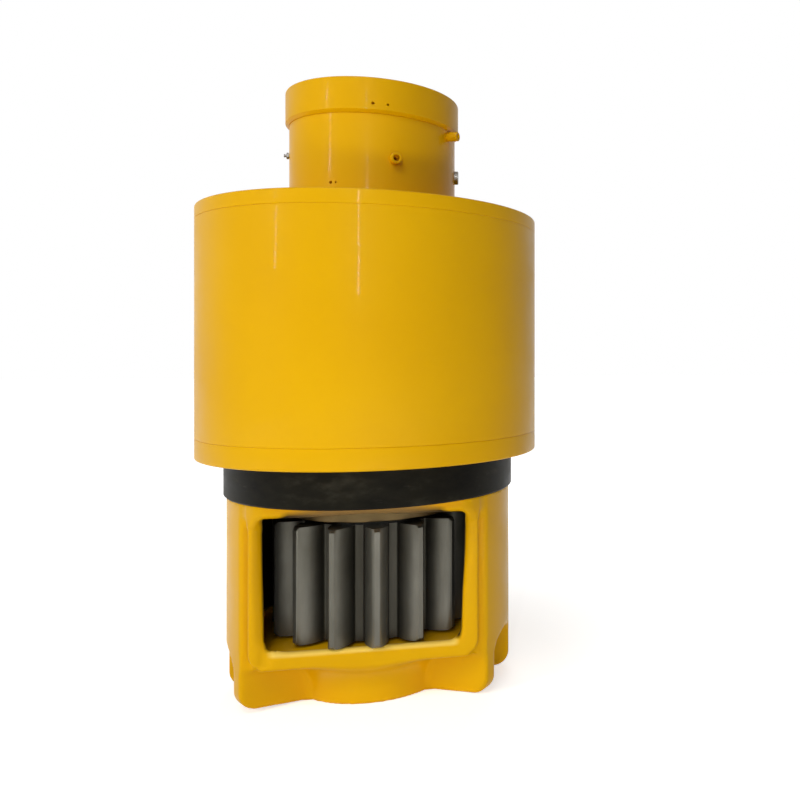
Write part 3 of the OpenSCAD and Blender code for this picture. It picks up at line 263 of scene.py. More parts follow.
AROUND, UP, FRONTWARDS = (1, 1, 0), (0, 0, 1), (0, 1, 0)


def fade(tree, pick, start, end, start_out, end_out):
    """A value that goes from start_out to end_out as along() goes from start to end, in metres."""
    return spread(tree, along(tree, pick), start, end, start_out, end_out)


def ramp(tree, source, stops):
    """A colour ramp with (place, colour) stops."""
    made = tree.nodes.new("ShaderNodeValToRGB")
    for element in list(made.color_ramp.elements)[1:]:
        made.color_ramp.elements.remove(element)
    made.color_ramp.elements[0].position = stops[0][0]
    made.color_ramp.elements[0].color = (*stops[0][1], 1)
    for place, colour in stops[1:]:
        made.color_ramp.elements.new(place).color = (*colour, 1)
    tree.links.new(source, made.inputs["Fac"])
    return made.outputs["Color"]


def spread(tree, source, low, high, low_out, high_out):
    """Source between low and high, carried to between low_out and high_out."""
    made = node(tree, "ShaderNodeMapRange")
    for name, value in zip(("From Min", "From Max", "To Min", "To Max"), (low, high, low_out, high_out)):
        made.inputs[name].default_value = value
    tree.links.new(source, made.inputs["Value"])
    return made.outputs["Result"]


def times(tree, first, second):
    """The product of two values."""
    made = node(tree, "ShaderNodeMath", operation="MULTIPLY")
    tree.links.new(first, made.inputs[0])
    tree.links.new(second, made.inputs[1])
    return made.outputs["Value"]


def mixed(tree, factor, first, second):
    """Colour that goes from first to second as the factor goes from 0 to 1."""
    made = node(tree, "ShaderNodeMix", data_type="RGBA")
    tree.links.new(factor, made.inputs[0])
    for place, colour in ((6, first), (7, second)):
        if isinstance(colour, tuple):
            made.inputs[place].default_value = (*colour, 1)
        else:
            tree.links.new(colour, made.inputs[place])
    return made.outputs[2]


def bump(tree, source, height, before=None):
    """A bump of the given height in metres."""
    made = node(tree, "ShaderNodeBump", Distance=height, Strength=1.0)
    tree.links.new(source, made.inputs["Height"])
    if before:
        tree.links.new(before, made.inputs["Normal"])
    return made.outputs["Normal"]


def material(name):
    """An empty node material, its tree and its shader."""
    made = bpy.data.materials.new(name)
    made.use_nodes = True
    return made, made.node_tree, made.node_tree.nodes["Principled BSDF"]


def enamel(name, grain=0.0, window_shade_and_highlight=False):
    """Yellow enamel: the tone drifts a little, fine dust dulls the gloss in patches, the surface has
    an orange peel, and on the casting the sand grain shows through. Round the pinion it can carry
    painted shade, near black, in the space behind the window, a browner tone on the lintel's middle
    and a painted highlight on the lip at the sill's front: each lies between its own radii and heights."""
    made, tree, shader = material(name)
    tone = ramp(tree, noise(tree, 4.0, 4.0), [(0.3, YELLOW_DEEP), (0.7, YELLOW)])
    dust = noise(tree, 60.0, 6.0, 0.7)
    tone = mixed(tree, spread(tree, dust, 0.66, 0.8, 0, 0.35), tone, DUST)
    if window_shade_and_highlight:
        # Painted shade: the space behind the window, up to the jambs' inner edges, is coloured near black.
        inside = times(tree, fade(tree, AROUND, 0.2215, 0.2285, 1, 0),
                       times(tree, fade(tree, UP, 0.107, 0.114, 0, 1), fade(tree, UP, 0.336, 0.345, 1, 0)))
        tone = mixed(tree, inside, tone, CAVITY_SHADE)
        # A browner tone on the lintel's middle, between these radii and heights.
        over = times(tree, fade(tree, AROUND, 0.196, 0.222, 0.85, 0), fade(tree, UP, 0.326, 0.334, 0, 1))
        tone = mixed(tree, over, tone, LINTEL_BROWN)
        # Painted highlight: a pale yellow band along the lip at the sill's front edge.
        lip = times(tree, fade(tree, AROUND, 0.219, 0.226, 1, 0), fade(tree, FRONTWARDS, 0.1475, 0.150, 0, 1))
        band = times(tree, fade(tree, UP, 0.0975, 0.102, 0, 0.9), fade(tree, UP, 0.107, 0.110, 1, 0))
        tone = mixed(tree, times(tree, lip, band), tone, LIP_HIGHLIGHT)
    tree.links.new(tone, shader.inputs["Base Color"])
    tree.links.new(spread(tree, noise(tree, 14.0, 6.0, 0.6), 0.35, 0.7, 0.30, 0.42), shader.inputs["Roughness"])
    normal = bump(tree, noise(tree, 330.0, 2.0), 0.000015)
    if grain:
        normal = bump(tree, noise(tree, 95.0, 6.0, 0.62), grain, normal)
    tree.links.new(normal, shader.inputs["Normal"])
    shader.inputs["Specular IOR Level"].default_value = 0.07
    shader.inputs["Coat Weight"].default_value = 0.07
    shader.inputs["Coat Roughness"].default_value = 0.04
    return made


YELLOW_DEEP, YELLOW, DUST = (0.76, 0.395, 0.0), (0.81, 0.435, 0.0), (0.60, 0.34, 0.04)
# Near-black painted shade for the cavity, a browner lintel tone, and the pale painted highlight of the lip.
CAVITY_SHADE, LINTEL_BROWN, LIP_HIGHLIGHT = (0.020, 0.013, 0.006), (0.26, 0.16, 0.055), (0.98, 0.68, 0.12)
cast_enamel = enamel("cast_enamel", grain=0.00010, window_shade_and_highlight=True)
cage = piece("cage_casting", *net(cage_field, (-256, -256, -4), (256, 256, 360), CAGE_GRID), cast_enamel,
             slot="yellow_paint")
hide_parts("pinion_housing")

# Mounting flange and register
# Upper end of the same casting, turned true: the flange with 24 tapped holes from below, the
# register under it, the recess that takes the dark ring, and the spigot that centres the drum.
ROUND_STEPS = 240
CASE_R, SPIGOT_R, FLANGE_Z, CASE_Z = 300, 265, 421, 457
RING_SEAT_R, RING_SEAT_TOP = 256, 423
TAPPED_HOLES, TAPPED_HOLE_AT, TAPPED_HOLE_AZ, TAPPED_HOLE_R, TAPPED_HOLE_TOP = 24, 278, 7.5, 8.75, 449
SHARP_EDGE = math.radians(32)


def rounded(corners, arc_steps=5):
    """Closed outline through (radius, height, rounding) corners, each corner an arc. The arc's
    centre lies on the corner's bisector, and its points are the chord's points pushed out to it."""
    line = []
    for n, (r, z, radius) in enumerate(corners):
        here = np.array([r, z], float)
        before = np.array(corners[n - 1][:2], float) - here
        after = np.array(corners[(n + 1) % len(corners)][:2], float) - here
        before, after = before / np.linalg.norm(before), after / np.linalg.norm(after)
        angle = math.acos(np.clip(before @ after, -1, 1))
        if radius <= 0 or angle > math.pi - 0.01:
            line.append(here)
            continue
        reach = radius / math.tan(angle / 2)
        middle = here + (before + after) / np.linalg.norm(before + after) * radius / math.sin(angle / 2)
        share = np.linspace(0, 1, arc_steps)[:, None]
        way = (here + before * reach - middle) * (1 - share) + (here + after * reach - middle) * share
        line.extend(middle + way / np.linalg.norm(way, axis=1)[:, None] * radius)
    return np.array(line)


def turned(outline, steps=ROUND_STEPS, hexed=0):
    """Closed outline of (radius, height) points carried round the Z axis. The last hexed points lie
    on a hexagon instead: their radius is divided by the cosine of the angle from its flat's middle."""
    angle = np.linspace(0, 2 * math.pi, steps, endpoint=False)
    n = len(outline)
    flat = math.cos(math.pi / 6) / np.cos(angle % (math.pi / 3) - math.pi / 6)
    factor = np.where(np.arange(n)[None, :] >= n - hexed, flat[:, None], 1.0)
    r = outline[:, 0] * factor
    points = np.stack([np.sin(angle)[:, None] * r, -np.cos(angle)[:, None] * r,
                       np.broadcast_to(outline[:, 1], (steps, n))], -1).reshape(-1, 3)
    i, j = np.arange(steps)[:, None], np.arange(n)[None, :]
    i2, j2 = (i + 1) % steps, (j + 1) % n
    return points, np.stack([i * n + j, i2 * n + j, i2 * n + j2, i * n + j2], -1).reshape(-1, 4)


def round_about(mesh, count, at_r, first=0.0):
    """Copies of a mesh on a circle: each point is moved out by at_r and turned about the Z axis."""
    points, faces = mesh
    turn = np.radians(first + np.arange(count) * 360 / count)[:, None]
    x, y = points[None, :, 0], points[None, :, 1] - at_r
    copies = np.stack([x * np.cos(turn) - y * np.sin(turn), x * np.sin(turn) + y * np.cos(turn),
                       np.broadcast_to(points[None, :, 2], (count, len(points)))], -1)
    shift = np.arange(count)[:, None, None] * len(points)
    return copies.reshape(-1, 3), (faces[None] + shift).reshape(-1, faces.shape[1])


def drill(r, low, high, steps=32):
    """A round cutter on the Z axis between two heights."""
    return turned(np.array([(0, low), (r, low), (r, high), (0, high)], float), steps)


def side_facing(mesh, azimuth, at_r, height):
    """A mesh made along Z, set at an azimuth and height and pointing outwards from radius at_r."""
    points, faces = mesh
    a = math.radians(azimuth)
    x, y, z = points[:, 0], -at_r - points[:, 2], height + points[:, 1]
    return np.stack([x * math.cos(a) - y * math.sin(a), x * math.sin(a) + y * math.cos(a), z], 1), faces


def closed(made):
    """Merges a piece's doubled points, turns its faces outwards and keeps its hard edges."""
    shell = bmesh.new()
    shell.from_mesh(made.data)
    bmesh.ops.remove_doubles(shell, verts=shell.verts, dist=2e-6)
    bmesh.ops.recalc_face_normals(shell, faces=shell.faces)
    shell.to_mesh(made.data)
    shell.free()
    made.data.set_sharp_from_angle(angle=SHARP_EDGE)
    return made


def bored(made, *cutters):
    """Cuts closed cutters, given as (points, faces) in mm, out of a piece."""
    starts = np.cumsum([0] + [len(points) for points, _ in cutters])
    faces = [f for (_, part), start in zip(cutters, starts) for f in (part + start).tolist()]
    tool = closed(piece("cutter", np.concatenate([points for points, _ in cutters]), faces,
                        made.data.materials[0]))
    bore = made.modifiers.new("bore", "BOOLEAN")
    bore.operation, bore.solver, bore.object = "DIFFERENCE", "EXACT", tool
    cut = bpy.data.meshes.new_from_object(made.evaluated_get(bpy.context.evaluated_depsgraph_get()))
    made.modifiers.clear()
    made.data = cut
    cut.name = made.name
    bpy.data.objects.remove(tool)
    made.data.set_sharp_from_angle(angle=SHARP_EDGE)
    return made


smooth_enamel = enamel("smooth_enamel")
flange = closed(piece("mounting_flange", *turned(rounded([
    (CASE_R, FLANGE_Z, 3), (CASE_R, CASE_Z, 1.2), (SPIGOT_R, CASE_Z, 0), (SPIGOT_R, 465.75, 0),
    (260, 465.75, 0), (260, 472.25, 0), (SPIGOT_R, 472.25, 0), (SPIGOT_R, 506.4, 1), (226, 506.4, 1),
    (226, CASE_Z, 0), (190.2, CASE_Z, 1), (190.2, CAGE_TOP, 0), (CAGE_R, CAGE_TOP, 0.8),
    (CAGE_R, RING_SEAT_TOP, 0), (RING_SEAT_R, RING_SEAT_TOP, 0), (RING_SEAT_R, FLANGE_Z, 0)])),
    smooth_enamel, slot="yellow_paint"))
bored(flange, round_about(drill(TAPPED_HOLE_R, FLANGE_Z - 4, TAPPED_HOLE_TOP),
                          TAPPED_HOLES, TAPPED_HOLE_AT, TAPPED_HOLE_AZ))
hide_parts("pinion_housing")

# Dark ring
# Steel band over the machined register, blackened against rust, with smears of oil and scuffs from
# handling. Its thinner upper end goes into a recess of the flange.
RING_R, RING_STEP_R, RING_GAP = 255, 253, 0.1
black_coating, tree, shader = material("black_coating")
smear = noise(tree, 7.0, 6.0, 0.62, (1, 1, 2.2))
scuff = spread(tree, noise(tree, 30.0, 8.0, 0.75, (0.5, 0.5, 2.5)), 0.60, 0.78, 0, 0.8)
tone = ramp(tree, smear, [(0.36, (0.0025, 0.0020, 0.0011)), (0.55, (0.011, 0.0100, 0.0064)),
                          (0.70, (0.034, 0.031, 0.022))])
tree.links.new(mixed(tree, scuff, tone, (0.042, 0.038, 0.030)), shader.inputs["Base Color"])
tree.links.new(spread(tree, smear, 0.36, 0.7, 0.30, 0.55), shader.inputs["Roughness"])
tree.links.new(bump(tree, noise(tree, 240.0, 4.0), 0.00003), shader.inputs["Normal"])
shader.inputs["Specular IOR Level"].default_value = 0.05
dark_ring = closed(piece("dark_ring", *turned(rounded([
    (RING_R - 3, CAGE_TOP, 0.6), (RING_R, CAGE_TOP + 3, 0.6), (RING_R, FLANGE_Z, 0), (RING_STEP_R, FLANGE_Z, 0),
    (RING_STEP_R, RING_SEAT_TOP - RING_GAP, 0), (CAGE_R + RING_GAP, RING_SEAT_TOP - RING_GAP, 0),
    (CAGE_R + RING_GAP, CAGE_TOP, 0.5)])), black_coating, slot="black_coating"))
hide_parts("pilot_ring")

# Lower bearing
# Spherical roller bearing of hardened steel in the boss, held by a cast cover and eight screws from
# below; its inner race sits on the shaft's foot against a snap ring.


def metal(name, colour, roughness, metallic=1.0, lines=(1, 1, 1), depth=0.00001, level=0.5):
    """Metal whose tone drifts in patches and whose gloss and bump follow fine tool marks, which the
    lines stretch along or round the piece."""
    made, tree, shader = material(name)
    marks = noise(tree, 500.0, 3.0, 0.6, lines)
    dim = tuple(c * 0.75 for c in colour)
    tree.links.new(ramp(tree, noise(tree, 16.0, 4.0), [(0.3, dim), (0.7, colour)]), shader.inputs["Base Color"])
    tree.links.new(spread(tree, marks, 0.3, 0.7, roughness, roughness + 0.14), shader.inputs["Roughness"])
    tree.links.new(bump(tree, marks, depth), shader.inputs["Normal"])
    shader.inputs["Metallic"].default_value = metallic
    shader.inputs["Specular IOR Level"].default_value = level
    return made


def finished(finish, *names):
    """Gives the CAD solids with these names their finish."""
    for name in names:
        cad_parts[name].data.materials.clear()
        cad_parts[name].data.materials.append(finish)


bearing_steel = metal("bearing_steel", (0.62, 0.62, 0.61), 0.20, lines=(0.2, 0.2, 3))
ring_steel = metal("ring_steel", (0.40, 0.39, 0.37), 0.30, lines=(0.3, 0.3, 3))
bolt_steel = metal("bolt_steel", (0.34, 0.33, 0.31), 0.36)
finished(bearing_steel, "lower_outer_race", "lower_rollers", "lower_inner_race")
finished(ring_steel, "lower_bearing_circlip")
finished(smooth_enamel, "lower_bearing_cover")
finished(bolt_steel, "lower_cover_screws")

# Seal carrier
# Turned steel sleeve that goes into the housing from above. Its nose stands into the window above
# the pinion and holds the lip seal, and its upper part holds the upper bearing under a screwed ring.
carrier_steel = metal("carrier_steel", (0.20, 0.14, 0.062), 0.46, lines=(0.3, 0.3, 3), depth=0.00002)
carrier = closed(piece("seal_sleeve", *turned(rounded([
    (120, 314, 1), (150, 314, 2), (150, 335, 0), (180, 335, 0.5), (180, 339.25, 0), (175, 339.25, 0),
    (175, 345.75, 0), (180, 345.75, 0), (180, 350, 0), (190, 350, 0.5), (190, 457, 0.5), (180, 457, 1),
    (180, 358, 0), (159.6, 358, 0), (159.6, 354, 0), (109, 354, 0), (109, 331, 0), (120, 331, 0)])),
    carrier_steel, slot="machined_steel"))
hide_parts("seal_carrier")
seal_rubber = metal("seal_rubber", (0.02, 0.02, 0.02), 0.6, 0.0, depth=0.00003, level=0.3)
finished(seal_rubber, "shaft_seal")
finished(bearing_steel, "upper_outer_race", "upper_rollers", "upper_inner_race")
finished(ring_steel, "bearing_retainer")
finished(bolt_steel, "retainer_screws")

# Slewing pinion
# Forged with its shaft and cut from alloy steel, hardened and ground on tips and flanks: fine lines
# run along the teeth, and painted shade darkens the spaces between them down to the roots.
TEETH, MODULE, SHIFT, PRESSURE = 15, 20.0, 0.4, math.radians(20)
PINION_Z, PINION_TOP, PINION_CHAMFER = 107.0, 307.0, 5.0
FLANK_STEPS, TIP_BREAK = 14, 1.2
pinion_steel, tree, shader = material("pinion_steel")
grain = noise(tree, 420.0, 3.0, 0.6, (1, 1, 0.05))
patch = noise(tree, 9.0, 5.0, 0.55, (1, 1, 0.5))
steel = ramp(tree, patch, [(0.32, (0.095, 0.090, 0.070)), (0.68, (0.185, 0.178, 0.150))])
# Painted shade: the tooth spaces darken towards the root circle.
root_shade = fade(tree, AROUND, 0.134, 0.153, 0.72, 0.0)
tree.links.new(mixed(tree, root_shade, steel, (0.016, 0.013, 0.007)), shader.inputs["Base Color"])
tree.links.new(spread(tree, grain, 0.3, 0.7, 0.36, 0.50), shader.inputs["Roughness"])
tree.links.new(bump(tree, grain, 0.00003), shader.inputs["Normal"])
shader.inputs["Metallic"].default_value = 0.8
shader.inputs["Specular IOR Level"].default_value = 0.3


def involute(angle):
    """Involute function, in radians."""
    return np.tan(angle) - angle


def tooth_line():
    """(radius, half angle) points along one tooth: a root fillet, the involute flank, whose half
    angle falls with the involute of the pressure angle at each radius, the broken tip edge, and the
    same back down."""
    pitch_r = MODULE * TEETH / 2
    base_r = pitch_r * math.cos(PRESSURE)
    tip_r, root_r = pitch_r + MODULE * (1 + SHIFT), pitch_r - MODULE * (1.25 - SHIFT)
    radii = base_r + (tip_r - TIP_BREAK - base_r) * np.linspace(0, 1, FLANK_STEPS)
    half = (math.pi / 2 / TEETH + SHIFT * MODULE * math.tan(PRESSURE) / pitch_r + involute(PRESSURE)
            - involute(np.arccos(np.minimum(1, base_r / radii))))
    foot = np.linspace(0, math.pi / 2, 6)[:-1]
    fillet = base_r - root_r
    foot_r = root_r + fillet * (1 - np.cos(foot))
    foot_half = half[0] + (1 - np.sin(foot)) * fillet * 0.45 / root_r
    tip_half = half[-1] - TIP_BREAK / tip_r
    radii = np.concatenate([foot_r, radii, [tip_r, tip_r]])
    half = np.concatenate([foot_half, half, [tip_half, tip_half / 2]])
    return np.concatenate([radii, radii[::-1]]), np.concatenate([-half, half[::-1]])


def pinion_mesh():
    """The tooth line repeated round the axis and carried up it; the end rows are cut back by the
    chamfer, so each tooth's end slopes. A fan to the axis closes either end."""
    radii, half = tooth_line()
    angle = (half[None, :] + math.pi / TEETH + np.arange(TEETH)[:, None] * 2 * math.pi / TEETH).ravel()
    radius = np.tile(radii, TEETH)
    heights = np.array([PINION_Z, PINION_Z + PINION_CHAMFER, PINION_TOP - PINION_CHAMFER, PINION_TOP])
    cut = np.array([PINION_CHAMFER, 0, 0, PINION_CHAMFER])
    r = np.minimum(radius[None, :], radii.max() - cut[:, None])
    n = len(angle)
    rows = np.stack([r * np.cos(angle), r * np.sin(angle), np.broadcast_to(heights[:, None], (4, n))], -1)
    points = np.concatenate([rows.reshape(-1, 3), [[0, 0, PINION_Z], [0, 0, PINION_TOP]]])
    j, row = np.arange(n), np.arange(3)[:, None]
    j2 = (j + 1) % n
    sides = np.stack([row * n + j, row * n + j2, (row + 1) * n + j2, (row + 1) * n + j], -1).reshape(-1, 4)
    low = np.stack([np.full(n, 4 * n), j2, j], 1)
    top = np.stack([np.full(n, 4 * n + 1), 3 * n + j, 3 * n + j2], 1)
    return points, sides.tolist() + low.tolist() + top.tolist()


pinion = closed(piece("pinion_teeth", *pinion_mesh(), pinion_steel, body="output", slot="pinion_steel"))
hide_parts("pinion_shaft")
shaft_steel = metal("shaft_steel", (0.42, 0.41, 0.38), 0.26, lines=(0.3, 0.3, 3))
shaft = closed(piece("pinion_journals", *turned(rounded([
    (0, 25, 0), (55, 25, 2), (55, 30, 0), (51, 30, 0), (51, 34, 0), (55, 34, 0), (55, 87, 0), (68, 87, 1),
    (68, 108, 0), (105, 306, 0), (105, 358, 1), (100, 358, 0), (100, 456, 1), (0, 456, 0)])),
    shaft_steel, body="output", slot="pinion_steel"))
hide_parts("pinion_shaft")

# Second stage
# Hardened planet gears on bronze bushes and pins in a steel carrier, between the sun and the ring
# gear; the carrier's spline drives the pinion shaft and a snap ring holds it there.
gear_steel = metal("gear_steel", (0.36, 0.35, 0.33), 0.32, lines=(1, 1, 0.1))
bush_bronze = metal("bush_bronze", (0.56, 0.36, 0.14), 0.32, lines=(0.3, 0.3, 3))
PLANETS = ("1", "2", "3")
finished(gear_steel, "second_ring_gear", "second_carrier", "second_sun_gear",
         *("second_planet_" + k for k in PLANETS))
finished(bush_bronze, "second_washers", *("second_bush_" + k for k in PLANETS))
finished(bearing_steel, "second_planet_pins")
finished(ring_steel, "carrier_snap_ring", "ring_gear_pins")

# First stage
# The faster stage above it, of the same steels, whose carrier drives the second sun through a
# spline; its own sun slides on the input shaft.
finished(gear_steel, "first_ring_gear", "first_carrier", "first_sun_gear",
         *("first_planet_" + k for k in PLANETS))
finished(bush_bronze, "first_washers", *("first_bush_" + k for k in PLANETS))
finished(bearing_steel, "first_planet_pins")
finished(seal_rubber, "o_rings")

# Gear case
# Plain steel drum round both ring gears, bored for the long bolts and enamelled with the rest. The
# broken edges of its ends draw the fine seams against flange and cover.
COVER_Z, BOLT_AT, BOLT_HOLE_R, BOLTS = 831, 283, 8.75, 12
case = closed(piece("gear_drum", *turned(rounded([
    (CASE_R, CASE_Z, 1.2), (CASE_R, COVER_Z, 1.2), (SPIGOT_R, COVER_Z, 0), (SPIGOT_R, 687.2, 0),
    (250, 687.2, 0), (250, 616.4, 0), (SPIGOT_R, 616.4, 0), (SPIGOT_R, CASE_Z, 0)])),
    smooth_enamel, slot="yellow_paint"))
bored(case, round_about(drill(BOLT_HOLE_R, CASE_Z - 4, COVER_Z + 4), BOLTS, BOLT_AT))
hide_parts("gear_case")

# Cover and brake neck
# One casting, turned outside: the flat cover of the drum with counterbores for the bolts, and the
# neck with the brake chamber, the milled seats of its fittings and two small plain holes.
NECK_R, NECK_Z, ADAPTER_Z = 148, 855, 1013
HEAD_SEAT_Z, HEAD_HOLE_R = 844, 13
FITTINGS = {"vent": (65.2, 1001, 8.5, 7), "port": (18, 938, 10, 8), "plug": (88, 938, 12.5, 9)}
NIPPLE_AZ, NIPPLE_Z = -82, 961
cover = closed(piece("cover_and_neck", *turned(rounded([
    (CASE_R, COVER_Z, 1.2), (CASE_R, NECK_Z, 3), (NECK_R, NECK_Z, 3), (NECK_R, ADAPTER_Z, 0.6),
    (122, ADAPTER_Z, 1), (122, 934, 0), (112, 934, 0), (112, 868, 0), (52, 868, 0), (52, 851, 0),
    (65, 851, 0), (65, 826, 0), (69, 826, 0), (69, 822, 0), (65, 822, 0), (65, 815, 0), (85, 815, 1),
    (85, COVER_Z, 0), (245, COVER_Z, 0), (245, 763.2, 1), (SPIGOT_R, 763.2, 1), (SPIGOT_R, 815.75, 0),
    (260, 815.75, 0), (260, 822.25, 0), (SPIGOT_R, 822.25, 0), (SPIGOT_R, COVER_Z, 0)])),
    smooth_enamel, slot="yellow_paint"))
cuts = [round_about(drill(BOLT_HOLE_R, COVER_Z - 4, HEAD_SEAT_Z + 2), BOLTS, BOLT_AT),
        round_about(drill(HEAD_HOLE_R, HEAD_SEAT_Z, NECK_Z + 4), BOLTS, BOLT_AT),
        side_facing(drill(4, -13, 6), NIPPLE_AZ, NECK_R, NIPPLE_Z)]
cuts += [side_facing(drill(head_r + 0.5, -1.5, 6, 48), az, NECK_R, z) for az, z, head_r, _ in FITTINGS.values()]
cuts += [side_facing(drill(thread_r, -13, -1), az, NECK_R, z) for az, z, _, thread_r in FITTINGS.values()]
cuts += [side_facing(drill(r, -10, 6, 20), az, NECK_R, 894) for az, r in ((-24.2, 2.6), (-20.6, 1.8))]
for cut in cuts:
    bored(cover, cut)
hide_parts("brake_housing")

# Case bolts
# Twelve long hexagon socket screws with low heads, sunk into the cover, which clamp cover and drum
# to the flange.


def socket_screw(d, seat, length, head_r, head_h):
    """Outline of a socket head screw carried round its axis, head up: foot chamfer, shank, head with
    a broken edge, and the hexagon socket down to just under half the head's height."""
    socket_r, socket_z = 0.46 * d, seat + 0.45 * head_h
    outline = [(0, seat - length), (d / 2 - 1.2, seat - length), (d / 2, seat - length + 1.2), (d / 2, seat),
               (head_r, seat), (head_r, seat + head_h - 1.2), (head_r - 1.2, seat + head_h),
               (socket_r + 0.7, seat + head_h), (socket_r, seat + head_h - 0.7), (socket_r, socket_z),
               (0, socket_z - 1)]
    return turned(np.array(outline, float), 36, hexed=4)


long_bolt = socket_screw(16, HEAD_SEAT_Z, length=414, head_r=12, head_h=9)
bolts = closed(piece("long_bolts", *round_about(long_bolt, BOLTS, BOLT_AT), bolt_steel, slot="bolt_steel"))
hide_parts("case_bolts")

# Fittings on the neck
# A vent stub and a brake port in the neck's colour, sprayed over with it, and a socket plug and a
# bleed nipple in bare steel, each screwed into its milled seat.


def fitting(name, outline, az, z, finish, replaced, slot, hexed=0, steps=48):
    """A small turned piece, made along its own axis and set into the neck."""
    mesh = turned(outline, steps, hexed)
    made = closed(piece(name, *side_facing(mesh, az, NECK_R, z), finish, slot=slot))
    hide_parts(replaced)
    return made


vent = rounded([(7, -13, 0), (7, -1.5, 0), (8.5, -1.5, 0), (8.5, 21, 1.2), (4.5, 21, 1), (4.5, -13, 0)])
port = rounded([(8, -13, 0), (8, -1.5, 0), (10, -1.5, 0), (10, 10, 1.2), (5.5, 10, 0.8), (5.5, 0, 0),
                (3, 0, 0), (3, -13, 0)])
plug = np.array([(0, -13), (9, -13), (9, -1.5), (12.5, -1.5), (12.5, 5.8), (11.3, 7), (6.2, 7),
                 (5.5, 6.3), (5.5, 1.2), (0, 1)], float)
nipple = np.array([(3, 4.5), (3, 5.4), (2.3, 6), (2.3, 7), (3, 7.6), (3, 8.5), (2.5, 9), (0, 9),
                   (0, -13), (4, -13), (4, 0.5), (5.2, 0.5), (6, 1), (6, 4.1), (5.2, 4.5)], float)
fitting("vent_tube", vent, *FITTINGS["vent"][:2], smooth_enamel, "vent_stub", "yellow_paint")
fitting("brake_line_port", port, *FITTINGS["port"][:2], smooth_enamel, "brake_port", "yellow_paint")
fitting("socket_plug", plug, *FITTINGS["plug"][:2], bolt_steel, "side_plug", "bolt_steel", hexed=4)
fitting("bleed_screw", nipple, NIPPLE_AZ, NIPPLE_Z, bolt_steel, "bleed_nipple", "bolt_steel",
        hexed=4, steps=36)

# Brake
# Steel plates and lined discs, the ring piston with its rubber rings, and the stack of cone springs
# above it, which press the plates together until oil lifts the piston.
plate_steel = metal("plate_steel", (0.46, 0.45, 0.42), 0.36, lines=(0.3, 0.3, 3))
brake_lining = metal("brake_lining", (0.22, 0.17, 0.12), 0.75, 0.2, depth=0.0001)
spring_steel = metal("spring_steel", (0.10, 0.10, 0.10), 0.42)
finished(plate_steel, "brake_plates", "brake_piston")
finished(brake_lining, "friction_discs")
finished(seal_rubber, "piston_seals")
finished(spring_steel, "brake_springs")

# Input shaft
# Turned steel shaft with the splines of sun and discs and the motor's splined socket, in a ball
# bearing held by a snap ring.
finished(shaft_steel, "input_shaft")
finished(bearing_steel, "input_outer_race", "input_balls", "input_inner_race")
finished(ring_steel, "input_bearing_circlip")

# Motor collar
# Turned steel ring on the neck, with the motor's pilot bore and four tapped holes, and eight sunk
# screws that hold it down; two small plain holes lie on its front.
COLLAR_R, TOP_Z, PILOT_BORE_R, COLLAR_BORE_R = 154.5, 1073, 90, 64
COLLAR_SCREWS, COLLAR_SCREW_AT, COLLAR_SCREW_AZ, COLLAR_SEAT_Z = 8, 135, 10, 1059
collar = closed(piece("motor_collar", *turned(rounded([
    (COLLAR_R - 5, ADAPTER_Z, 0.8), (COLLAR_R, ADAPTER_Z + 5, 0.8), (COLLAR_R, TOP_Z, 3),
    (PILOT_BORE_R, TOP_Z, 1.5), (PILOT_BORE_R, TOP_Z - 13, 0), (COLLAR_BORE_R, TOP_Z - 13, 1),
    (COLLAR_BORE_R, ADAPTER_Z, 1)])), smooth_enamel, slot="yellow_paint"))
circle = (COLLAR_SCREWS, COLLAR_SCREW_AT, COLLAR_SCREW_AZ)
for cut in [round_about(drill(6.75, ADAPTER_Z - 4, COLLAR_SEAT_Z + 2), *circle),
            round_about(drill(10.1, COLLAR_SEAT_Z, TOP_Z + 4), *circle),
            round_about(drill(8.75, TOP_Z - 32, TOP_Z + 4), 4, 112, 45),
            side_facing(drill(2.8, -10, 6, 20), 3.7, COLLAR_R, 1028),
            side_facing(drill(2.2, -10, 6, 20), 12.9, COLLAR_R, 1028)]:
    bored(collar, cut)
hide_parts("motor_adapter")
collar_screw = socket_screw(12, COLLAR_SEAT_Z, length=70, head_r=9.6, head_h=12)
screws = closed(piece("collar_screws", *round_about(collar_screw, *circle), bolt_steel, slot="bolt_steel"))
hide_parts("adapter_screws")

# Floor and backdrop
# A plain white studio floor that runs into a white backdrop. The camera and mirror reflections see
# them white; the floor keeps the gearbox's shadow, and other light meets plain pale paint.
FLOOR_SIZE = 40.0
WHITE_NEAR, WHITE_FAR = 0.62, 1.0


def seen_white(tree):
    """1 for camera, mirror and see-through rays, 0 for light that the surfaces scatter."""
    path = tree.nodes.new("ShaderNodeLightPath")
    first = node(tree, "ShaderNodeMath", operation="MAXIMUM")
    second = node(tree, "ShaderNodeMath", operation="MAXIMUM")
    tree.links.new(path.outputs["Is Camera Ray"], first.inputs[0])
    tree.links.new(path.outputs["Is Glossy Ray"], first.inputs[1])
    tree.links.new(first.outputs["Value"], second.inputs[0])
    tree.links.new(path.outputs["Is Transmission Ray"], second.inputs[1])
    return second.outputs["Value"]


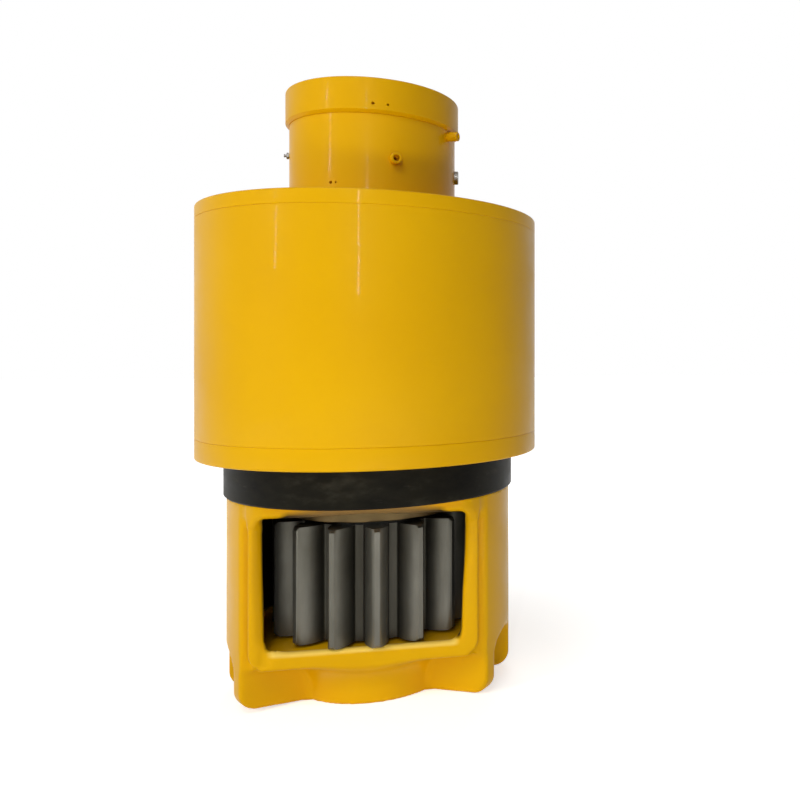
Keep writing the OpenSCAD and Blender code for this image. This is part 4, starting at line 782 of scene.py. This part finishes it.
floor_mesh = bpy.data.meshes.new("floor")
edge = FLOOR_SIZE / 2
floor_mesh.from_pydata([(-edge, -edge, 0), (edge, -edge, 0), (edge, edge, 0), (-edge, edge, 0)], [],
                       [(0, 1, 2, 3)])
floor = bpy.data.objects.new("floor", floor_mesh)
bpy.context.scene.collection.objects.link(floor)
pale_floor, tree, shader = material("pale_floor")
floor_mesh.materials.append(pale_floor)
shader.inputs["Base Color"].default_value = (0.90, 0.90, 0.89, 1)
shader.inputs["Roughness"].default_value = 0.9
shader.inputs["Specular IOR Level"].default_value = 0.0
shader.inputs["Emission Color"].default_value = (1, 1, 1, 1)
reach = fade(tree, AROUND, 0.35, 1.3, WHITE_NEAR, WHITE_FAR)
tree.links.new(times(tree, seen_white(tree), reach), shader.inputs["Emission Strength"])

world = bpy.data.worlds.new("world")
world.use_nodes = True
bpy.context.scene.world = world
tree = world.node_tree
soft = tree.nodes["Background"]
soft.inputs["Color"].default_value = (1, 1, 1, 1)
soft.inputs["Strength"].default_value = 0.09
white = node(tree, "ShaderNodeBackground", Color=(1, 1, 1, 1), Strength=1.0)
mix = tree.nodes.new("ShaderNodeMixShader")
tree.links.new(seen_white(tree), mix.inputs[0])
tree.links.new(soft.outputs[0], mix.inputs[1])
tree.links.new(white.outputs[0], mix.inputs[2])
tree.links.new(mix.outputs[0], tree.nodes["World Output"].inputs["Surface"])

# Light
# A large soft lamp at the front left, one near the floor and one high in front, a soft one behind,
# and two narrow upright lamps that draw the streaks on the drum and the neck.
AIM_HEIGHT = 0.55


def lamp(name, azimuth, distance, height, size, power, mirrored=True):
    """An area light at an azimuth from the front, aimed at the middle of the gearbox. One that isn't
    mirrored lights the paint but draws no bright patch in its gloss."""
    data = bpy.data.lights.new(name, "AREA")
    data.shape = "RECTANGLE"
    data.size, data.size_y = size
    data.energy = power
    made = bpy.data.objects.new(name, data)
    a = math.radians(azimuth)
    made.location = (distance * math.sin(a), -distance * math.cos(a), height)
    tilt = math.atan2(height - AIM_HEIGHT, distance)
    made.rotation_euler = (math.pi / 2 - tilt, 0, a)
    made.visible_glossy = mirrored
    bpy.context.scene.collection.objects.link(made)
    return made


lamp("key", -60, 3.0, 1.0, (1.3, 1.8), 27, mirrored=False)
lamp("low_front", 12, 1.5, 0.12, (1.0, 0.18), 6, mirrored=False)
lamp("high_front", -16, 2.0, 3.0, (1.4, 1.0), 25)
lamp("back", 172, 3.0, 1.8, (2.0, 1.6), 34, mirrored=False)
lamp("strip_left", -56, 2.65, 1.75, (0.03, 1.3), 7)
lamp("strip_middle", -5, 3.6, 1.75, (0.03, 1.4), 13)
